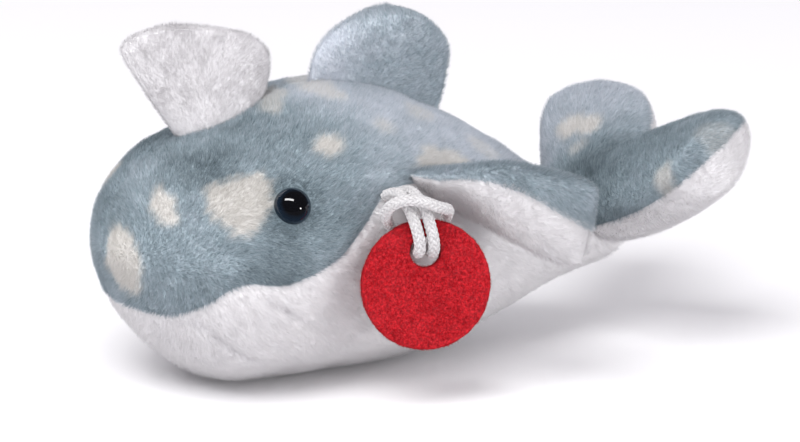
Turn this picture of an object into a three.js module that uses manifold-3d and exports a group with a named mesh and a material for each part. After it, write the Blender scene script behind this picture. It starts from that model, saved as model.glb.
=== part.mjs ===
// A small plush whale that lies on its belly. Millimetres, +Z up.
// The nose points to -X, the tail to +X, and the whale's left side faces -Y.
// The floor is z = 0. Places along the toy are measured from the tip of the nose,
// until the last lines centre it.

import * as THREE from "three";
import { mergeVertices } from "three/addons/utils/BufferGeometryUtils.js";
import Module from "manifold-3d";

const wasm = await Module();
wasm.setup();

// Body
const bodyLength = 92; // tip of the nose to the end of the tail stock
const bodyWidth = 48;
const bodyHeight = 47.7; // belly to the top of the back
const noseLength = 20.5; // where the round nose has grown to the full section
const noseHeight = 23; // the tip of the nose above the floor
const flatDepth = 0.5; // how much the belly is flattened where it rests
const coverThickness = 2.4; // backing and pile together
const seamGap = 0.3; // between neighbouring covers
const fillGap = 0.6; // between the stuffing and the covers
const padGap = 0.45; // between the body and the pads that are sewn to it

// The lines that shape the body: [share of the length, share of the full size]
const backShares = [
  [0, 0.885], [0.18, 0.895], [0.37, 1], [0.51, 0.974], [0.65, 0.855], [0.74, 0.746], [0.83, 0.626],
  [1, 0.45],
];
const bellyShares = [
  [0, 0.11], [0.18, 0.012], [0.33, 0], [0.45, 0], [0.54, 0.008], [0.65, 0.052], [0.74, 0.113],
  [0.84, 0.185], [1, 0.26],
];
const widthShares = [
  [0, 0.95], [0.26, 1], [0.42, 0.99], [0.56, 0.89], [0.7, 0.69], [0.84, 0.43], [0.93, 0.33], [1, 0.3],
];

// The seam from the blue-grey sides to the white belly: [share of the length, share of the height]
const chinStart = 1.9; // the belly panel's front point, under the nose
const seamShares = [
  [0, 0.325], [0.056, 0.305], [0.1, 0.357], [0.16, 0.445], [0.25, 0.435], [0.34, 0.5], [0.4, 0.615],
  [0.445, 0.7], [0.51, 0.715], [0.65, 0.647], [0.8, 0.48], [1, 0.377],
];

// Eyes
const eyeDiameter = 6;
const eyeDome = 2.3; // height of the dome over its flat back
const eyeSink = 0.9; // how far its back sits down in the pile
const eyeAlong = 24.7;
const eyeHeight = 33.2;
const shankDiameter = 2.4;
const shankLength = 8.5;
const shankRidges = 3;
const ridgeHeight = 0.25;
const washerDiameter = 8;
const washerThickness = 1.2;
const washerRelief = 0.6; // room under the cover, which curves away
const hubDiameter = 5;
const hubHeight = 1;

// Spout: a fan of two layers, sewn into the seam on top of the head
const spoutAlong = 15.4; // the front end of its seam
const spoutBase = 14.4; // length of its seam
const spoutReach = 27; // width of the fan
const spoutHeight = 17.3; // above the front end of its seam
const spoutThickness = 5;
// From the front end of the seam: [share of the reach, share of the height]
const spoutLeadShares = [
  [-0.07, -0.07], [-0.13, 0.05], [-0.23, 0.26], [-0.315, 0.51], [-0.38, 0.75], [-0.385, 0.87],
  [-0.32, 0.96], [-0.19, 1], [-0.05, 1],
];
const spoutTrailShares = [
  [0.5, 0.22], [0.54, 0.37], [0.56, 0.55], [0.52, 0.72], [0.4, 0.86], [0.2, 0.95], [-0.05, 1],
];

// Dorsal fin: a fat lobe, sewn into the same seam behind the spout
const finAlong = 36;
const finLength = 26.5;
const finHeight = 10.7; // above the front end of its seam
const finThickness = 9;
const finLeadShares = [
  [0, -0.08], [0.025, 0.28], [0.085, 0.52], [0.2, 0.77], [0.35, 0.93], [0.48, 1], [0.6, 0.995],
];
const finTrailShares = [
  [0.9, -0.66], [0.955, -0.36], [0.985, 0], [0.98, 0.32], [0.89, 0.64], [0.76, 0.88], [0.6, 0.995],
];

// Flippers: flat pads, swept back, with a blue-grey top and a white underside
const flipperAlong = 43.5; // the front end of the root
const flipperRootShare = 0.713; // height of the root's front end, as a share of the body's
const flipperRootFall = 3; // how much lower the root's rear end is
const flipperLength = 26;
const flipperChord = 17;
const flipperThickness = 15;
const flipperSweep = 52; // degrees back from straight out
const flipperDroop = 10; // degrees down at the tip
const flipperTwist = 22; // degrees that the leading edge is raised
// [share of the length, share of the chord]
const flipperLeadShares = [
  [-0.2, 0.3], [0.1, 0.48], [0.35, 0.6], [0.6, 0.58], [0.82, 0.42], [0.95, 0.2], [1, 0],
];
const flipperTrailShares = [
  [-0.2, -0.7], [0.15, -0.5], [0.4, -0.45], [0.62, -0.42], [0.82, -0.32], [0.95, -0.16], [1, 0],
];

// Tail flukes: one heart-shaped pad, turned up behind the tail stock, which ends in a round knuckle
const tailInset = 8; // the knuckle's centre, ahead of the end of the tail stock
const tailPitch = 37; // degrees above level
const flukeLength = 28;
const flukeSpan = 56;
const flukeThickness = 14.5;
const flukeRise = 4.5; // how much the tips rise over the middle
const flukeRoll = 4.5; // degrees that the left lobe is tilted up
// From the left tip to the middle: [share of the half span, share of the length]
const flukeLeadShares = [[-1, 0.56], [-0.94, 0.4], [-0.76, 0.25], [-0.5, 0.12], [-0.2, 0]];
const flukeTrailShares = [[-1, 0.56], [-0.99, 0.76], [-0.86, 0.94], [-0.64, 1], [-0.4, 0.95], [-0.17, 0.8]];
const flukeNotchShare = 0.67;

// How far the sewn-on pieces turn about their seams, in degrees
const spoutTurns = [-20, 20];
const finTurns = [-12, 12];
const flipperTurns = [-20, 35]; // up is positive
const tailTurns = [-25, 15]; // up is positive

// Shape of every sewn-on pad
const seamThinShare = 0.3; // thickness at the seam, as a share of the full thickness
const fullShare = 0.45; // where the pad is full, as a share of the way to its tip

// Hang tag: a felt disc on a braided cord
const tagDiameter = 20.8;
const tagThickness = 1.6;
const tagEdge = 0.25; // its rounded rim
const holeDiameter = 5;
const holeRise = 5.3; // the hole's centre above the disc's
const tagAlong = 43.6; // the disc's centre
const tagOut = 30.2; // from the middle of the body to the disc's front
const tagHeight = 20.1;
const tagTurn = -13; // degrees, towards the nose
const tagLean = 7; // degrees, its lower edge away from the body
const cordDiameter = 2;
// The cord's route in the disc's frame: right, up and out of its front
const cordRoute = [
  [-5.1, 13.8, -5.55], [-4.4, 14.4, -3.5], [-3.6, 14.5, -1.6], [-3.15, 13.4, 0.3], [-2.4, 11.5, 1.4],
  [-1.75, 9.4, 1.6], [-1.35, 7.6, 1.5], [-1.15, 6, 0.9], [-1.15, 5.2, -0.7], [-1.2, 5.3, -2.3],
  [-2.2, 6.6, -3.1], [-3.9, 8.2, -3.2], [-5.3, 9.8, -2.8], [-6.1, 11.3, -1], [-6, 12.6, 0.7],
  [-5, 13.7, 2.2], [-3.2, 14.2, 3.1], [-1.1, 13.9, 3.3], [0.9, 13.1, 2.8], [2.7, 12.3, 1.1],
  [3.8, 11.8, -0.7], [4.2, 11.1, -2.2], [3.8, 9.5, -3.1], [2.9, 7.7, -3.2], [1.9, 6.2, -3],
  [1.2, 5.3, -2.2], [1.15, 5.2, -0.6], [1.15, 6, 0.9], [0.95, 7.6, 1.5], [0.55, 9.4, 1.6],
  [0, 11.5, 1.4], [-0.8, 13.4, 0.3], [-1.4, 14.5, -2], [-2, 14.55, -4.45], [-2.85, 13.9, -6.45],
];

// How finely each surface is made
const noseRows = 7;
const bodyRows = 12;
const sideColumns = 10;
const bellyColumns = 14;
const bodyColumns = 24;
const padRows = 8;
const padColumns = 8;
const flukeRows = 14;
const knuckleSides = 32;
const eyeSides = 18;
const domeSteps = 5;
const tagSides = 40;
const cordSides = 8;
const cordSteps = 76;

const overrun = 4; // how far a cutter passes the piece that it cuts
const hair = 0.01; // spacing used to measure a surface's slope

// Materials

function fabric(color) {
  return new THREE.MeshStandardMaterial({ color, roughness: 0.95, metalness: 0 });
}

const blueGreyPile = fabric(0x8fa6b2);
const whitePile = fabric(0xf3efea);
const polyesterFill = fabric(0xfafafa);
const redFelt = fabric(0xb8141c);
const whiteBraid = fabric(0xf6f5f3);
const glossBlack = new THREE.MeshStandardMaterial({ color: 0x08090d, roughness: 0.08, metalness: 0 });
const whiteNylon = new THREE.MeshStandardMaterial({ color: 0xe8e8e4, roughness: 0.5, metalness: 0 });

// Solids from meshes and back

function toSolid(geometry) {
  const plain = geometry.clone();
  plain.deleteAttribute("normal");
  plain.deleteAttribute("uv");
  const merged = mergeVertices(plain, hair / 10);
  const corners = merged.index.array;
  const kept = [];
  for (let i = 0; i < corners.length; i += 3) {
    const [a, b, c] = corners.slice(i, i + 3);
    if (a !== b && b !== c && c !== a) kept.push(a, b, c);
  }
  const mesh = new wasm.Mesh({
    numProp: 3,
    vertProperties: new Float32Array(merged.attributes.position.array),
    triVerts: new Uint32Array(kept),
  });
  return new wasm.Manifold(mesh);
}

function toGeometry(solid) {
  const mesh = solid.getMesh();
  const geometry = new THREE.BufferGeometry();
  geometry.setAttribute("position", new THREE.BufferAttribute(new Float32Array(mesh.vertProperties), 3));
  geometry.setIndex(new THREE.BufferAttribute(new Uint32Array(mesh.triVerts), 1));
  geometry.computeVertexNormals();
  return geometry;
}

// A solid from its points and triangles, turned right side out
function closed(points, corners) {
  const normal = new THREE.Vector3();
  let volume = 0;
  for (let i = 0; i < corners.length; i += 3) {
    const [a, b, c] = corners.slice(i, i + 3).map((corner) => points[corner]);
    volume += a.dot(normal.crossVectors(b, c));
  }
  const geometry = new THREE.BufferGeometry();
  geometry.setAttribute("position", new THREE.Float32BufferAttribute(points.flatMap((p) => p.toArray()), 3));
  geometry.setIndex(volume < 0 ? [...corners].reverse() : corners);
  return toSolid(geometry);
}

// A closed solid between two grids of points that have the same rows and columns
function between(outer, inner) {
  const rows = outer.length;
  const columns = outer[0].length;
  const at = (layer, i, j) => (layer * rows + i) * columns + j;
  const corners = [];
  const quad = (a, b, c, d) => corners.push(a, b, c, a, c, d);
  const right = columns - 1;
  const last = rows - 1;
  for (let i = 0; i < last; i += 1) {
    for (let j = 0; j < right; j += 1) {
      quad(at(0, i, j), at(0, i + 1, j), at(0, i + 1, j + 1), at(0, i, j + 1));
      quad(at(1, i, j), at(1, i, j + 1), at(1, i + 1, j + 1), at(1, i + 1, j));
    }
    quad(at(0, i, 0), at(1, i, 0), at(1, i + 1, 0), at(0, i + 1, 0));
    quad(at(0, i, right), at(0, i + 1, right), at(1, i + 1, right), at(1, i, right));
  }
  for (let j = 0; j < right; j += 1) {
    quad(at(0, 0, j), at(0, 0, j + 1), at(1, 0, j + 1), at(1, 0, j));
    quad(at(0, last, j), at(1, last, j), at(1, last, j + 1), at(0, last, j + 1));
  }
  return closed([...outer.flat(), ...inner.flat()], corners);
}

function grid(places, columns, pointAt) {
  return places.map((place) => Array.from({ length: columns + 1 }, (_, j) => pointAt(place, j / columns)));
}

function block(width, depth, height, x, y, z) {
  return toSolid(new THREE.BoxGeometry(width, depth, height).translate(x, y, z));
}

function mirrored(solid) {
  return solid.mirror([0, 1, 0]);
}

// Body surface

// A smooth line through [along, value] pairs, read at any place along it
function smoothLine(points) {
  const slopes = points.map((_, i) => {
    const [x0, y0] = points[Math.max(i - 1, 0)];
    const [x1, y1] = points[Math.min(i + 1, points.length - 1)];
    return (y1 - y0) / (x1 - x0);
  });
  return (at) => {
    const next = points.findIndex(([x], i) => i > 0 && at <= x);
    const i = next < 0 ? points.length - 2 : next - 1;
    const [x0, y0] = points[i];
    const [x1, y1] = points[i + 1];
    const span = x1 - x0;
    const t = (at - x0) / span;
    const left = 1 - t;
    return (
      left * left * (y0 * (1 + 2 * t) + slopes[i] * span * t) +
      t * t * (y1 * (3 - 2 * t) - slopes[i + 1] * span * left)
    );
  };
}

const backLine = smoothLine(backShares);
const bellyLine = smoothLine(bellyShares);
const widthLine = smoothLine(widthShares);
const seamLine = smoothLine(seamShares);

// The cross-section at a distance from the nose: an oval that grows from a point at the nose
function section(x) {
  const share = x / bodyLength;
  const grown = Math.sqrt(1 - Math.max(0, 1 - x / noseLength) ** 2);
  const back = bodyHeight * backLine(share);
  const belly = bodyHeight * bellyLine(share) - flatDepth;
  const top = noseHeight + (back - noseHeight) * grown;
  const bottom = noseHeight - (noseHeight - belly) * grown;
  return {
    middle: (top + bottom) / 2,
    halfHeight: (top - bottom) / 2,
    halfWidth: (bodyWidth / 2) * widthLine(share) * grown,
    top,
  };
}

// A point on the body: round is 0 at the belly, 1 at the back by way of the left side, -1 by the right
function bodyPoint(x, round) {
  const { middle, halfHeight, halfWidth } = section(x);
  const angle = Math.PI * round;
  return new THREE.Vector3(x, -halfWidth * Math.sin(angle), middle - halfHeight * Math.cos(angle));
}

function bodyNormal(x, round) {
  if (x < hair) return new THREE.Vector3(-1, 0, 0);
  const along = bodyPoint(x + hair, round).sub(bodyPoint(x - hair, round));
  const around = bodyPoint(x, round + hair).sub(bodyPoint(x, round - hair));
  return along.cross(around).normalize();
}

// A point of the body's surface, moved out by a distance, or in where it is negative
function coverPoint(x, round, distance) {
  return bodyPoint(x, round).addScaledVector(bodyNormal(x, round), distance);
}

// How far round the section a height lies
function roundAt(x, height) {
  const { middle, halfHeight } = section(x);
  return Math.acos(THREE.MathUtils.clamp((middle - height) / halfHeight, -1, 1)) / Math.PI;
}

function seamRound(x) {
  return x > chinStart ? roundAt(x, bodyHeight * seamLine(x / bodyLength)) : 0;
}

// Rows close together on the round nose, one at the belly panel's front point, and even along the rest
const bellyStart = chinStart + seamGap;
const bodyPlaces = [
  bellyStart,
  ...Array.from({ length: noseRows }, (_, i) => noseLength * (1 - Math.cos(((i / noseRows) * Math.PI) / 2))),
  ...Array.from({ length: bodyRows + 1 }, (_, i) => noseLength + ((bodyLength - noseLength) * i) / bodyRows),
].sort((a, b) => a - b);

// The body's whole form, moved out by a distance
function bodyForm(distance) {
  const rings = grid(bodyPlaces, bodyColumns, (x, share) => coverPoint(x, 2 * share - 1, distance));
  const points = rings.flatMap((ring) => ring.slice(0, bodyColumns));
  const last = bodyPlaces.length - 1;
  points.push(new THREE.Vector3(points[points.length - 1].x, 0, section(bodyLength).middle));
  const at = (i, j) => i * bodyColumns + (j % bodyColumns);
  const corners = [];
  for (let j = 0; j < bodyColumns; j += 1) {
    for (let i = 0; i < last; i += 1) {
      corners.push(at(i, j), at(i + 1, j), at(i + 1, j + 1), at(i, j), at(i + 1, j + 1), at(i, j + 1));
    }
    corners.push(at(last, j), points.length - 1, at(last, j + 1));
  }
  return closed(points, corners);
}

// The tail stock ends in a round knuckle whose axis runs across the body
const tailAlong = bodyLength - tailInset;
const knuckle = new THREE.Vector3(tailAlong, 0, section(tailAlong).middle);

// Everything ahead of the knuckle's axis, and the knuckle, moved out by a distance
function aheadOfTail(distance) {
  const radius = section(tailAlong).halfHeight + distance;
  const length = tailAlong + overrun;
  const rod = new THREE.CylinderGeometry(radius, radius, 2 * bodyWidth, knuckleSides);
  return block(length, 2 * bodyWidth, 4 * bodyHeight, tailAlong - length / 2, 0, 0)
    .add(toSolid(rod.translate(knuckle.x, 0, knuckle.z)));
}

const floorBlock = block(2 * bodyLength, 2 * bodyWidth, bodyHeight, bodyLength / 2, 0, -bodyHeight / 2);

// Eyes, on an axis square to the body's surface

const eyeRound = roundAt(eyeAlong, eyeHeight);
const eyeAxis = bodyNormal(eyeAlong, eyeRound);
const eyeSeat = coverPoint(eyeAlong, eyeRound, -eyeSink);
const eyeRadius = eyeDiameter / 2;
const shankRadius = shankDiameter / 2;
const boreRadius = shankRadius + ridgeHeight + seamGap;
const washerTop = eyeSink - coverThickness - seamGap - washerRelief;
const washerBottom = washerTop - washerThickness;
const hubBottom = washerBottom - hubHeight;

// Turns a profile of [radius, height] round the left eye's axis
function turnedOnEye(profile) {
  const outline = profile.map(([radius, height]) => new THREE.Vector2(radius, height));
  const lathe = new THREE.LatheGeometry(outline, eyeSides);
  lathe.applyQuaternion(new THREE.Quaternion().setFromUnitVectors(new THREE.Vector3(0, 1, 0), eyeAxis));
  return toSolid(lathe.translate(...eyeSeat.toArray()));
}

function eye() {
  const profile = [[0, -shankLength], [shankRadius, -shankLength]];
  const pitch = (shankLength + hubBottom) / (shankRidges + 1);
  for (let i = 1; i <= shankRidges; i += 1) {
    const height = i * pitch - shankLength;
    profile.push([shankRadius, height - ridgeHeight]);
    profile.push([shankRadius + ridgeHeight, height]);
    profile.push([shankRadius, height + ridgeHeight]);
  }
  profile.push([shankRadius, 0]);
  for (let i = 0; i <= domeSteps; i += 1) {
    const angle = ((i / domeSteps) * Math.PI) / 2;
    profile.push([eyeRadius * Math.cos(angle), eyeDome * Math.sin(angle)]);
  }
  return turnedOnEye(profile);
}

function eyeWasher() {
  const rim = washerDiameter / 2;
  const hub = hubDiameter / 2;
  return turnedOnEye([
    [boreRadius, washerTop], [boreRadius, hubBottom], [hub, hubBottom], [hub, washerBottom],
    [rim, washerBottom], [rim, washerTop], [boreRadius, washerTop],
  ]);
}

// The dimple for the eye's head and the hole for its shank
function eyeHole() {
  const dimple = eyeRadius + seamGap;
  return turnedOnEye([
    [0, -coverThickness - overrun], [boreRadius, -coverThickness - overrun], [boreRadius, -seamGap],
    [dimple, -seamGap], [dimple, overrun], [0, overrun],
  ]);
}

// The room that the washer and the end of the shank take in the stuffing
function eyePocket() {
  const rim = washerDiameter / 2 + seamGap;
  return turnedOnEye([
    [0, -shankLength - seamGap], [boreRadius, -shankLength - seamGap], [boreRadius, hubBottom - seamGap],
    [rim, hubBottom - seamGap], [rim, overrun], [0, overrun],
  ]);
}

// Stuffing and covers of the body

function bodyStuffing() {
  const pocket = eyePocket();
  return bodyForm(-coverThickness - fillGap)
    .intersect(aheadOfTail(0))
    .subtract(pocket)
    .subtract(mirrored(pocket));
}

// The left blue-grey panel, from the belly's seam up to the seam along the back
function sidePanel() {
  const layer = (distance) => grid(bodyPlaces, sideColumns, (x, share) => {
    const gap = x > chinStart ? seamGap / (Math.PI * section(x).halfHeight) : 0;
    const start = seamRound(x) + gap;
    const point = coverPoint(x, start + (1 - start) * share, distance);
    point.y = Math.min(point.y, -seamGap / 2);
    return point;
  });
  return between(layer(0), layer(-coverThickness)).intersect(aheadOfTail(0)).subtract(eyeHole());
}

// The white panel, from a point under the nose, up behind the eyes and back to the tail stock
function bellyPanel() {
  const places = bodyPlaces.filter((x) => x >= bellyStart);
  const layer = (distance) => grid(places, bellyColumns, (x, share) => {
    const reach = x > bellyStart ? seamRound(x) : 0;
    return coverPoint(x, reach * (2 * share - 1), distance);
  });
  return between(layer(0), layer(-coverThickness)).intersect(aheadOfTail(0)).subtract(floorBlock);
}

// Sewn-on pads

// A curve through points that are shares of two sizes
function edge(shares, across, along) {
  return new THREE.SplineCurve(shares.map(([u, v]) => new THREE.Vector2(u * across, v * along)));
}

// Reads a curve so that its points crowd together towards the tip
function towardsTip(curve) {
  return (step) => curve.getPoint(Math.sin((step * Math.PI) / 2));
}

// Half the thickness of a pad that is thin at its seam, full in the middle and round at its tip
function padSwell(thickness) {
  return (step) => {
    const filled = Math.sin((Math.min(step / fullShare, 1) * Math.PI) / 2);
    const tip = Math.max(0, (step - fullShare) / (1 - fullShare));
    return (thickness / 2) * (seamThinShare + (1 - seamThinShare) * filled) * Math.sqrt(1 - tip * tip);
  };
}

// One half of a pad between two edges. side is 1 or -1, and place puts a point of the pad in the toy
function padHalf({ lead, trail, swell, place, side, rows }) {
  const steps = Array.from({ length: rows + 1 }, (_, i) => i / rows);
  const layer = (fullness) => grid(steps, padColumns, (step, share) => {
    const across = -Math.cos(Math.PI * share);
    const point = lead(step).lerp(trail(step), (across + 1) / 2);
    const crown = swell(step) * Math.sqrt(Math.max(0, 1 - across * across));
    return place(point.x, point.y, side * (seamGap / 2 + fullness * crown));
  });
  return between(layer(1), layer(0));
}

// Turns a solid about a hinge by an angle in degrees
function swung(solid, { point, axis }, degrees) {
  const turn = new THREE.Matrix4().makeRotationAxis(axis, THREE.MathUtils.degToRad(degrees));
  const there = new THREE.Matrix4().makeTranslation(point.x, point.y, point.z);
  const back = new THREE.Matrix4().makeTranslation(-point.x, -point.y, -point.z);
  return solid.transform(there.multiply(turn).multiply(back).toArray());
}

const bodyCutter = bodyForm(padGap).intersect(aheadOfTail(padGap));

// What the body takes up, seen from a pad that turns about a hinge
function bodyPath(hinge, [low, high]) {
  const stops = [low, low / 2, 0, high / 2, high];
  return stops.map((degrees) => swung(bodyCutter, hinge, -degrees)).reduce((all, one) => all.add(one));
}

// A hinge along the seam on the back, just above the cover
function backHinge(from, to) {
  const start = new THREE.Vector3(from, 0, section(from).top + seamGap);
  const end = new THREE.Vector3(to, 0, section(to).top + seamGap);
  return { point: start, axis: end.sub(start).normalize() };
}

const hinges = {
  spout: backHinge(spoutAlong, spoutAlong + spoutBase),
  fin: backHinge(finAlong, finAlong + finLength),
  tail: { point: knuckle, axis: new THREE.Vector3(0, -1, 0) },
};

// The left cover of a pad that stands in the seam on the back
function backPad({ along, across, height, leadShares, trailShares, thickness, path }) {
  const foot = section(along).top;
  return padHalf({
    lead: towardsTip(edge(leadShares, across, height)),
    trail: towardsTip(edge(trailShares, across, height)),
    swell: padSwell(thickness),
    place: (u, v, out) => new THREE.Vector3(along + u, -out, foot + v),
    side: 1,
    rows: padRows,
  }).subtract(path);
}

function spoutCover() {
  return backPad({
    along: spoutAlong,
    across: spoutReach,
    height: spoutHeight,
    leadShares: spoutLeadShares,
    trailShares: spoutTrailShares,
    thickness: spoutThickness,
    path: bodyPath(hinges.spout, spoutTurns),
  });
}

function finCover() {
  return backPad({
    along: finAlong,
    across: finLength,
    height: finHeight,
    leadShares: finLeadShares,
    trailShares: finTrailShares,
    thickness: finThickness,
    path: bodyPath(hinges.fin, finTurns),
  });
}

// The left flipper's own directions: along it, towards its leading edge, and out of its top
const sweep = THREE.MathUtils.degToRad(flipperSweep);
const droop = THREE.MathUtils.degToRad(flipperDroop);
const flipperOut = new THREE.Vector3(Math.sin(sweep), -Math.cos(sweep), -Math.tan(droop)).normalize();
const flipperAhead = new THREE.Vector3(-Math.cos(sweep), -Math.sin(sweep), 0)
  .applyAxisAngle(flipperOut, THREE.MathUtils.degToRad(-flipperTwist));
const flipperUp = new THREE.Vector3().crossVectors(flipperAhead, flipperOut);

const rootFrontHeight = bodyHeight * flipperRootShare;
const rootFront = coverPoint(flipperAlong, roundAt(flipperAlong, rootFrontHeight), seamGap);
const rootRearAlong = flipperAlong + flipperChord;
const rootRearHeight = rootFrontHeight - flipperRootFall;
const rootRear = coverPoint(rootRearAlong, roundAt(rootRearAlong, rootRearHeight), seamGap);
hinges.flipperLeft = { point: rootFront, axis: rootFront.clone().sub(rootRear).normalize() };
const flipperFoot = rootFront.clone().lerp(rootRear, 0.5);
const flipperPath = bodyPath(hinges.flipperLeft, flipperTurns);

// side is 1 for the top and -1 for the underside
function flipperCover(side) {
  return padHalf({
    lead: towardsTip(edge(flipperLeadShares, flipperLength, flipperChord)),
    trail: towardsTip(edge(flipperTrailShares, flipperLength, flipperChord)),
    swell: padSwell(flipperThickness),
    place: (out, ahead, up) => flipperFoot.clone()
      .addScaledVector(flipperOut, out)
      .addScaledVector(flipperAhead, ahead)
      .addScaledVector(flipperUp, up),
    side,
    rows: padRows,
  }).subtract(flipperPath);
}

// Carries the left half of an edge over to the right, through a point in the middle
function wholeEdge(leftShares, middleShare) {
  const right = leftShares.map(([u, v]) => [-u, v]).reverse();
  return edge([...leftShares, [0, middleShare], ...right], flukeSpan / 2, flukeLength);
}

const pitch = THREE.MathUtils.degToRad(tailPitch);
const rollSlope = Math.tan(THREE.MathUtils.degToRad(flukeRoll));
const tailBack = new THREE.Vector3(Math.cos(pitch), 0, Math.sin(pitch));
const tailUp = new THREE.Vector3(-Math.sin(pitch), 0, Math.cos(pitch));
const flukePath = bodyPath(hinges.tail, tailTurns);

function flukeCover(side) {
  const lead = wholeEdge(flukeLeadShares, 0);
  const trail = wholeEdge(flukeTrailShares, flukeNotchShare);
  const spread = (curve) => (step) => curve.getPoint((1 - Math.cos(step * Math.PI)) / 2);
  return padHalf({
    lead: spread(lead),
    trail: spread(trail),
    swell: (step) => (flukeThickness / 2) * Math.sqrt(Math.sin(step * Math.PI)),
    place: (across, back, up) => {
      const rise = flukeRise * (across / (flukeSpan / 2)) ** 2 - across * rollSlope;
      return knuckle.clone()
        .addScaledVector(tailBack, back)
        .addScaledVector(tailUp, up + rise)
        .setY(across);
    },
    side,
    rows: flukeRows,
  }).subtract(flukePath);
}

// Hang tag

function tagDisc() {
  const outline = new THREE.Shape().absarc(0, 0, tagDiameter / 2 - tagEdge, 0, 2 * Math.PI);
  const hole = new THREE.Path().absarc(0, holeRise, holeDiameter / 2 + tagEdge, 0, 2 * Math.PI, true);
  outline.holes.push(hole);
  const disc = new THREE.ExtrudeGeometry(outline, {
    depth: tagThickness - 2 * tagEdge,
    bevelThickness: tagEdge,
    bevelSize: tagEdge,
    bevelSegments: 1,
    curveSegments: tagSides / 2,
  });
  return disc.translate(0, 0, tagEdge - tagThickness).rotateX(Math.PI / 2);
}

function tagCord() {
  const points = cordRoute.map(([right, rise, out]) => new THREE.Vector3(right, -out, rise));
  const corners = Array.from({ length: cordSides }, (_, i) => {
    const angle = (2 * Math.PI * i) / cordSides;
    return new THREE.Vector2(Math.cos(angle), Math.sin(angle)).multiplyScalar(cordDiameter / 2);
  });
  return new THREE.ExtrudeGeometry(new THREE.Shape(corners), {
    steps: cordSteps,
    extrudePath: new THREE.CatmullRomCurve3(points),
  });
}

// The toy

function named(name, geometry, material) {
  const mesh = new THREE.Mesh(geometry, material);
  mesh.name = name;
  return mesh;
}

// The left piece and its mirror image on the right
function pair(name, rest, solid, material) {
  return [
    named(`${name}_left${rest}`, toGeometry(solid), material),
    named(`${name}_right${rest}`, toGeometry(mirrored(solid)), material),
  ];
}

const toy = new THREE.Group();
toy.add(
  named("body_stuffing", toGeometry(bodyStuffing()), polyesterFill),
  ...pair("side_panel", "", sidePanel(), blueGreyPile),
  named("belly_panel", toGeometry(bellyPanel()), whitePile),
  ...pair("eye", "", eye(), glossBlack),
  ...pair("eye_washer", "", eyeWasher(), whiteNylon),
  ...pair("spout", "_cover", spoutCover(), whitePile),
  ...pair("dorsal_fin", "_cover", finCover(), blueGreyPile),
  ...pair("flipper", "_top", flipperCover(1), blueGreyPile),
  ...pair("flipper", "_underside", flipperCover(-1), whitePile),
  named("tail_flukes_top", toGeometry(flukeCover(1)), blueGreyPile),
  named("tail_flukes_underside", toGeometry(flukeCover(-1)), whitePile),
);

const tag = new THREE.Group();
tag.add(named("hang_tag", tagDisc(), redFelt), named("tag_cord", tagCord(), whiteBraid));
tag.rotation.set(THREE.MathUtils.degToRad(-tagLean), 0, THREE.MathUtils.degToRad(tagTurn), "ZXY");
tag.position.set(tagAlong, -tagOut, tagHeight);

// The origin is under the middle of the plush
const plushBox = new THREE.Box3().setFromObject(toy);
toy.add(tag);
toy.position.x = -(plushBox.min.x + plushBox.max.x) / 2;

export default toy;
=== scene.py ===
"""A small plush whale on a pale floor, with a felt hang tag on a braided cord.

Shapes are worked out in millimetres from the tip of the nose: x runs towards the tail,
-y to the whale's left and z up from the floor. A mesh is put into the part's frame, in
metres, when it is made.
"""

import math
from dataclasses import dataclass

import bpy
import numpy as np
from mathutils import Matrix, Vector


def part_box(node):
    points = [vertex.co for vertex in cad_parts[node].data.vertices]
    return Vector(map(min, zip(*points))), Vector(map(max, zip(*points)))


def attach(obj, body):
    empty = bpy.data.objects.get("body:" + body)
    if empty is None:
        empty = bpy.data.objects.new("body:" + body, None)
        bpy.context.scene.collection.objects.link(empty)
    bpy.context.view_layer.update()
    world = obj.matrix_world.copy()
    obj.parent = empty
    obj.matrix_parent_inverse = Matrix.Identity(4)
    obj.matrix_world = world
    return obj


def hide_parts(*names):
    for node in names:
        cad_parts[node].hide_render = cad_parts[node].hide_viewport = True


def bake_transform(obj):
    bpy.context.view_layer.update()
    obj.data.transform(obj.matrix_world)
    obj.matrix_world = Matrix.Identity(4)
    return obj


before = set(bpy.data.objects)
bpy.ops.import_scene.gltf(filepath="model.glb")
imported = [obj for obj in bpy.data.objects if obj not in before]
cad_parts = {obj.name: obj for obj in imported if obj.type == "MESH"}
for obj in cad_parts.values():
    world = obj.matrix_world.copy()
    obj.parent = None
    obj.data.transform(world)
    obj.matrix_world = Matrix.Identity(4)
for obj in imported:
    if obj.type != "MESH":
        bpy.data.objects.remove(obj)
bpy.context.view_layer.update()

MM = 0.001
nose_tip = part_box("side_panel_left")[0].x  # in metres of the frame

# Body: the same sizes and lines as the solids have
body_length = 92
body_width = 48
body_height = 47.7
nose_length = 20.5
nose_height = 23
flat_depth = 0.5
back_shares = [
    (0, 0.885), (0.18, 0.895), (0.37, 1), (0.51, 0.974), (0.65, 0.855), (0.74, 0.746), (0.83, 0.626),
    (1, 0.45),
]
belly_shares = [
    (0, 0.11), (0.18, 0.012), (0.33, 0), (0.45, 0), (0.54, 0.008), (0.65, 0.052), (0.74, 0.113),
    (0.84, 0.185), (1, 0.26),
]
width_shares = [
    (0, 0.95), (0.26, 1), (0.42, 0.99), (0.56, 0.89), (0.7, 0.69), (0.84, 0.43), (0.93, 0.33), (1, 0.3),
]
chin_start = 1.9
seam_shares = [
    (0, 0.325), (0.056, 0.305), (0.1, 0.357), (0.16, 0.445), (0.25, 0.435), (0.34, 0.5), (0.4, 0.615),
    (0.445, 0.7), (0.51, 0.715), (0.65, 0.647), (0.8, 0.48), (1, 0.377),
]
seam_gap = 0.3

# Eyes
eye_diameter = 6
eye_dome = 2.3
eye_sink = 0.9
eye_rim = 0.35  # how far the dome's edge is rounded
eye_along = 24.7
eye_height = 33.2

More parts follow.
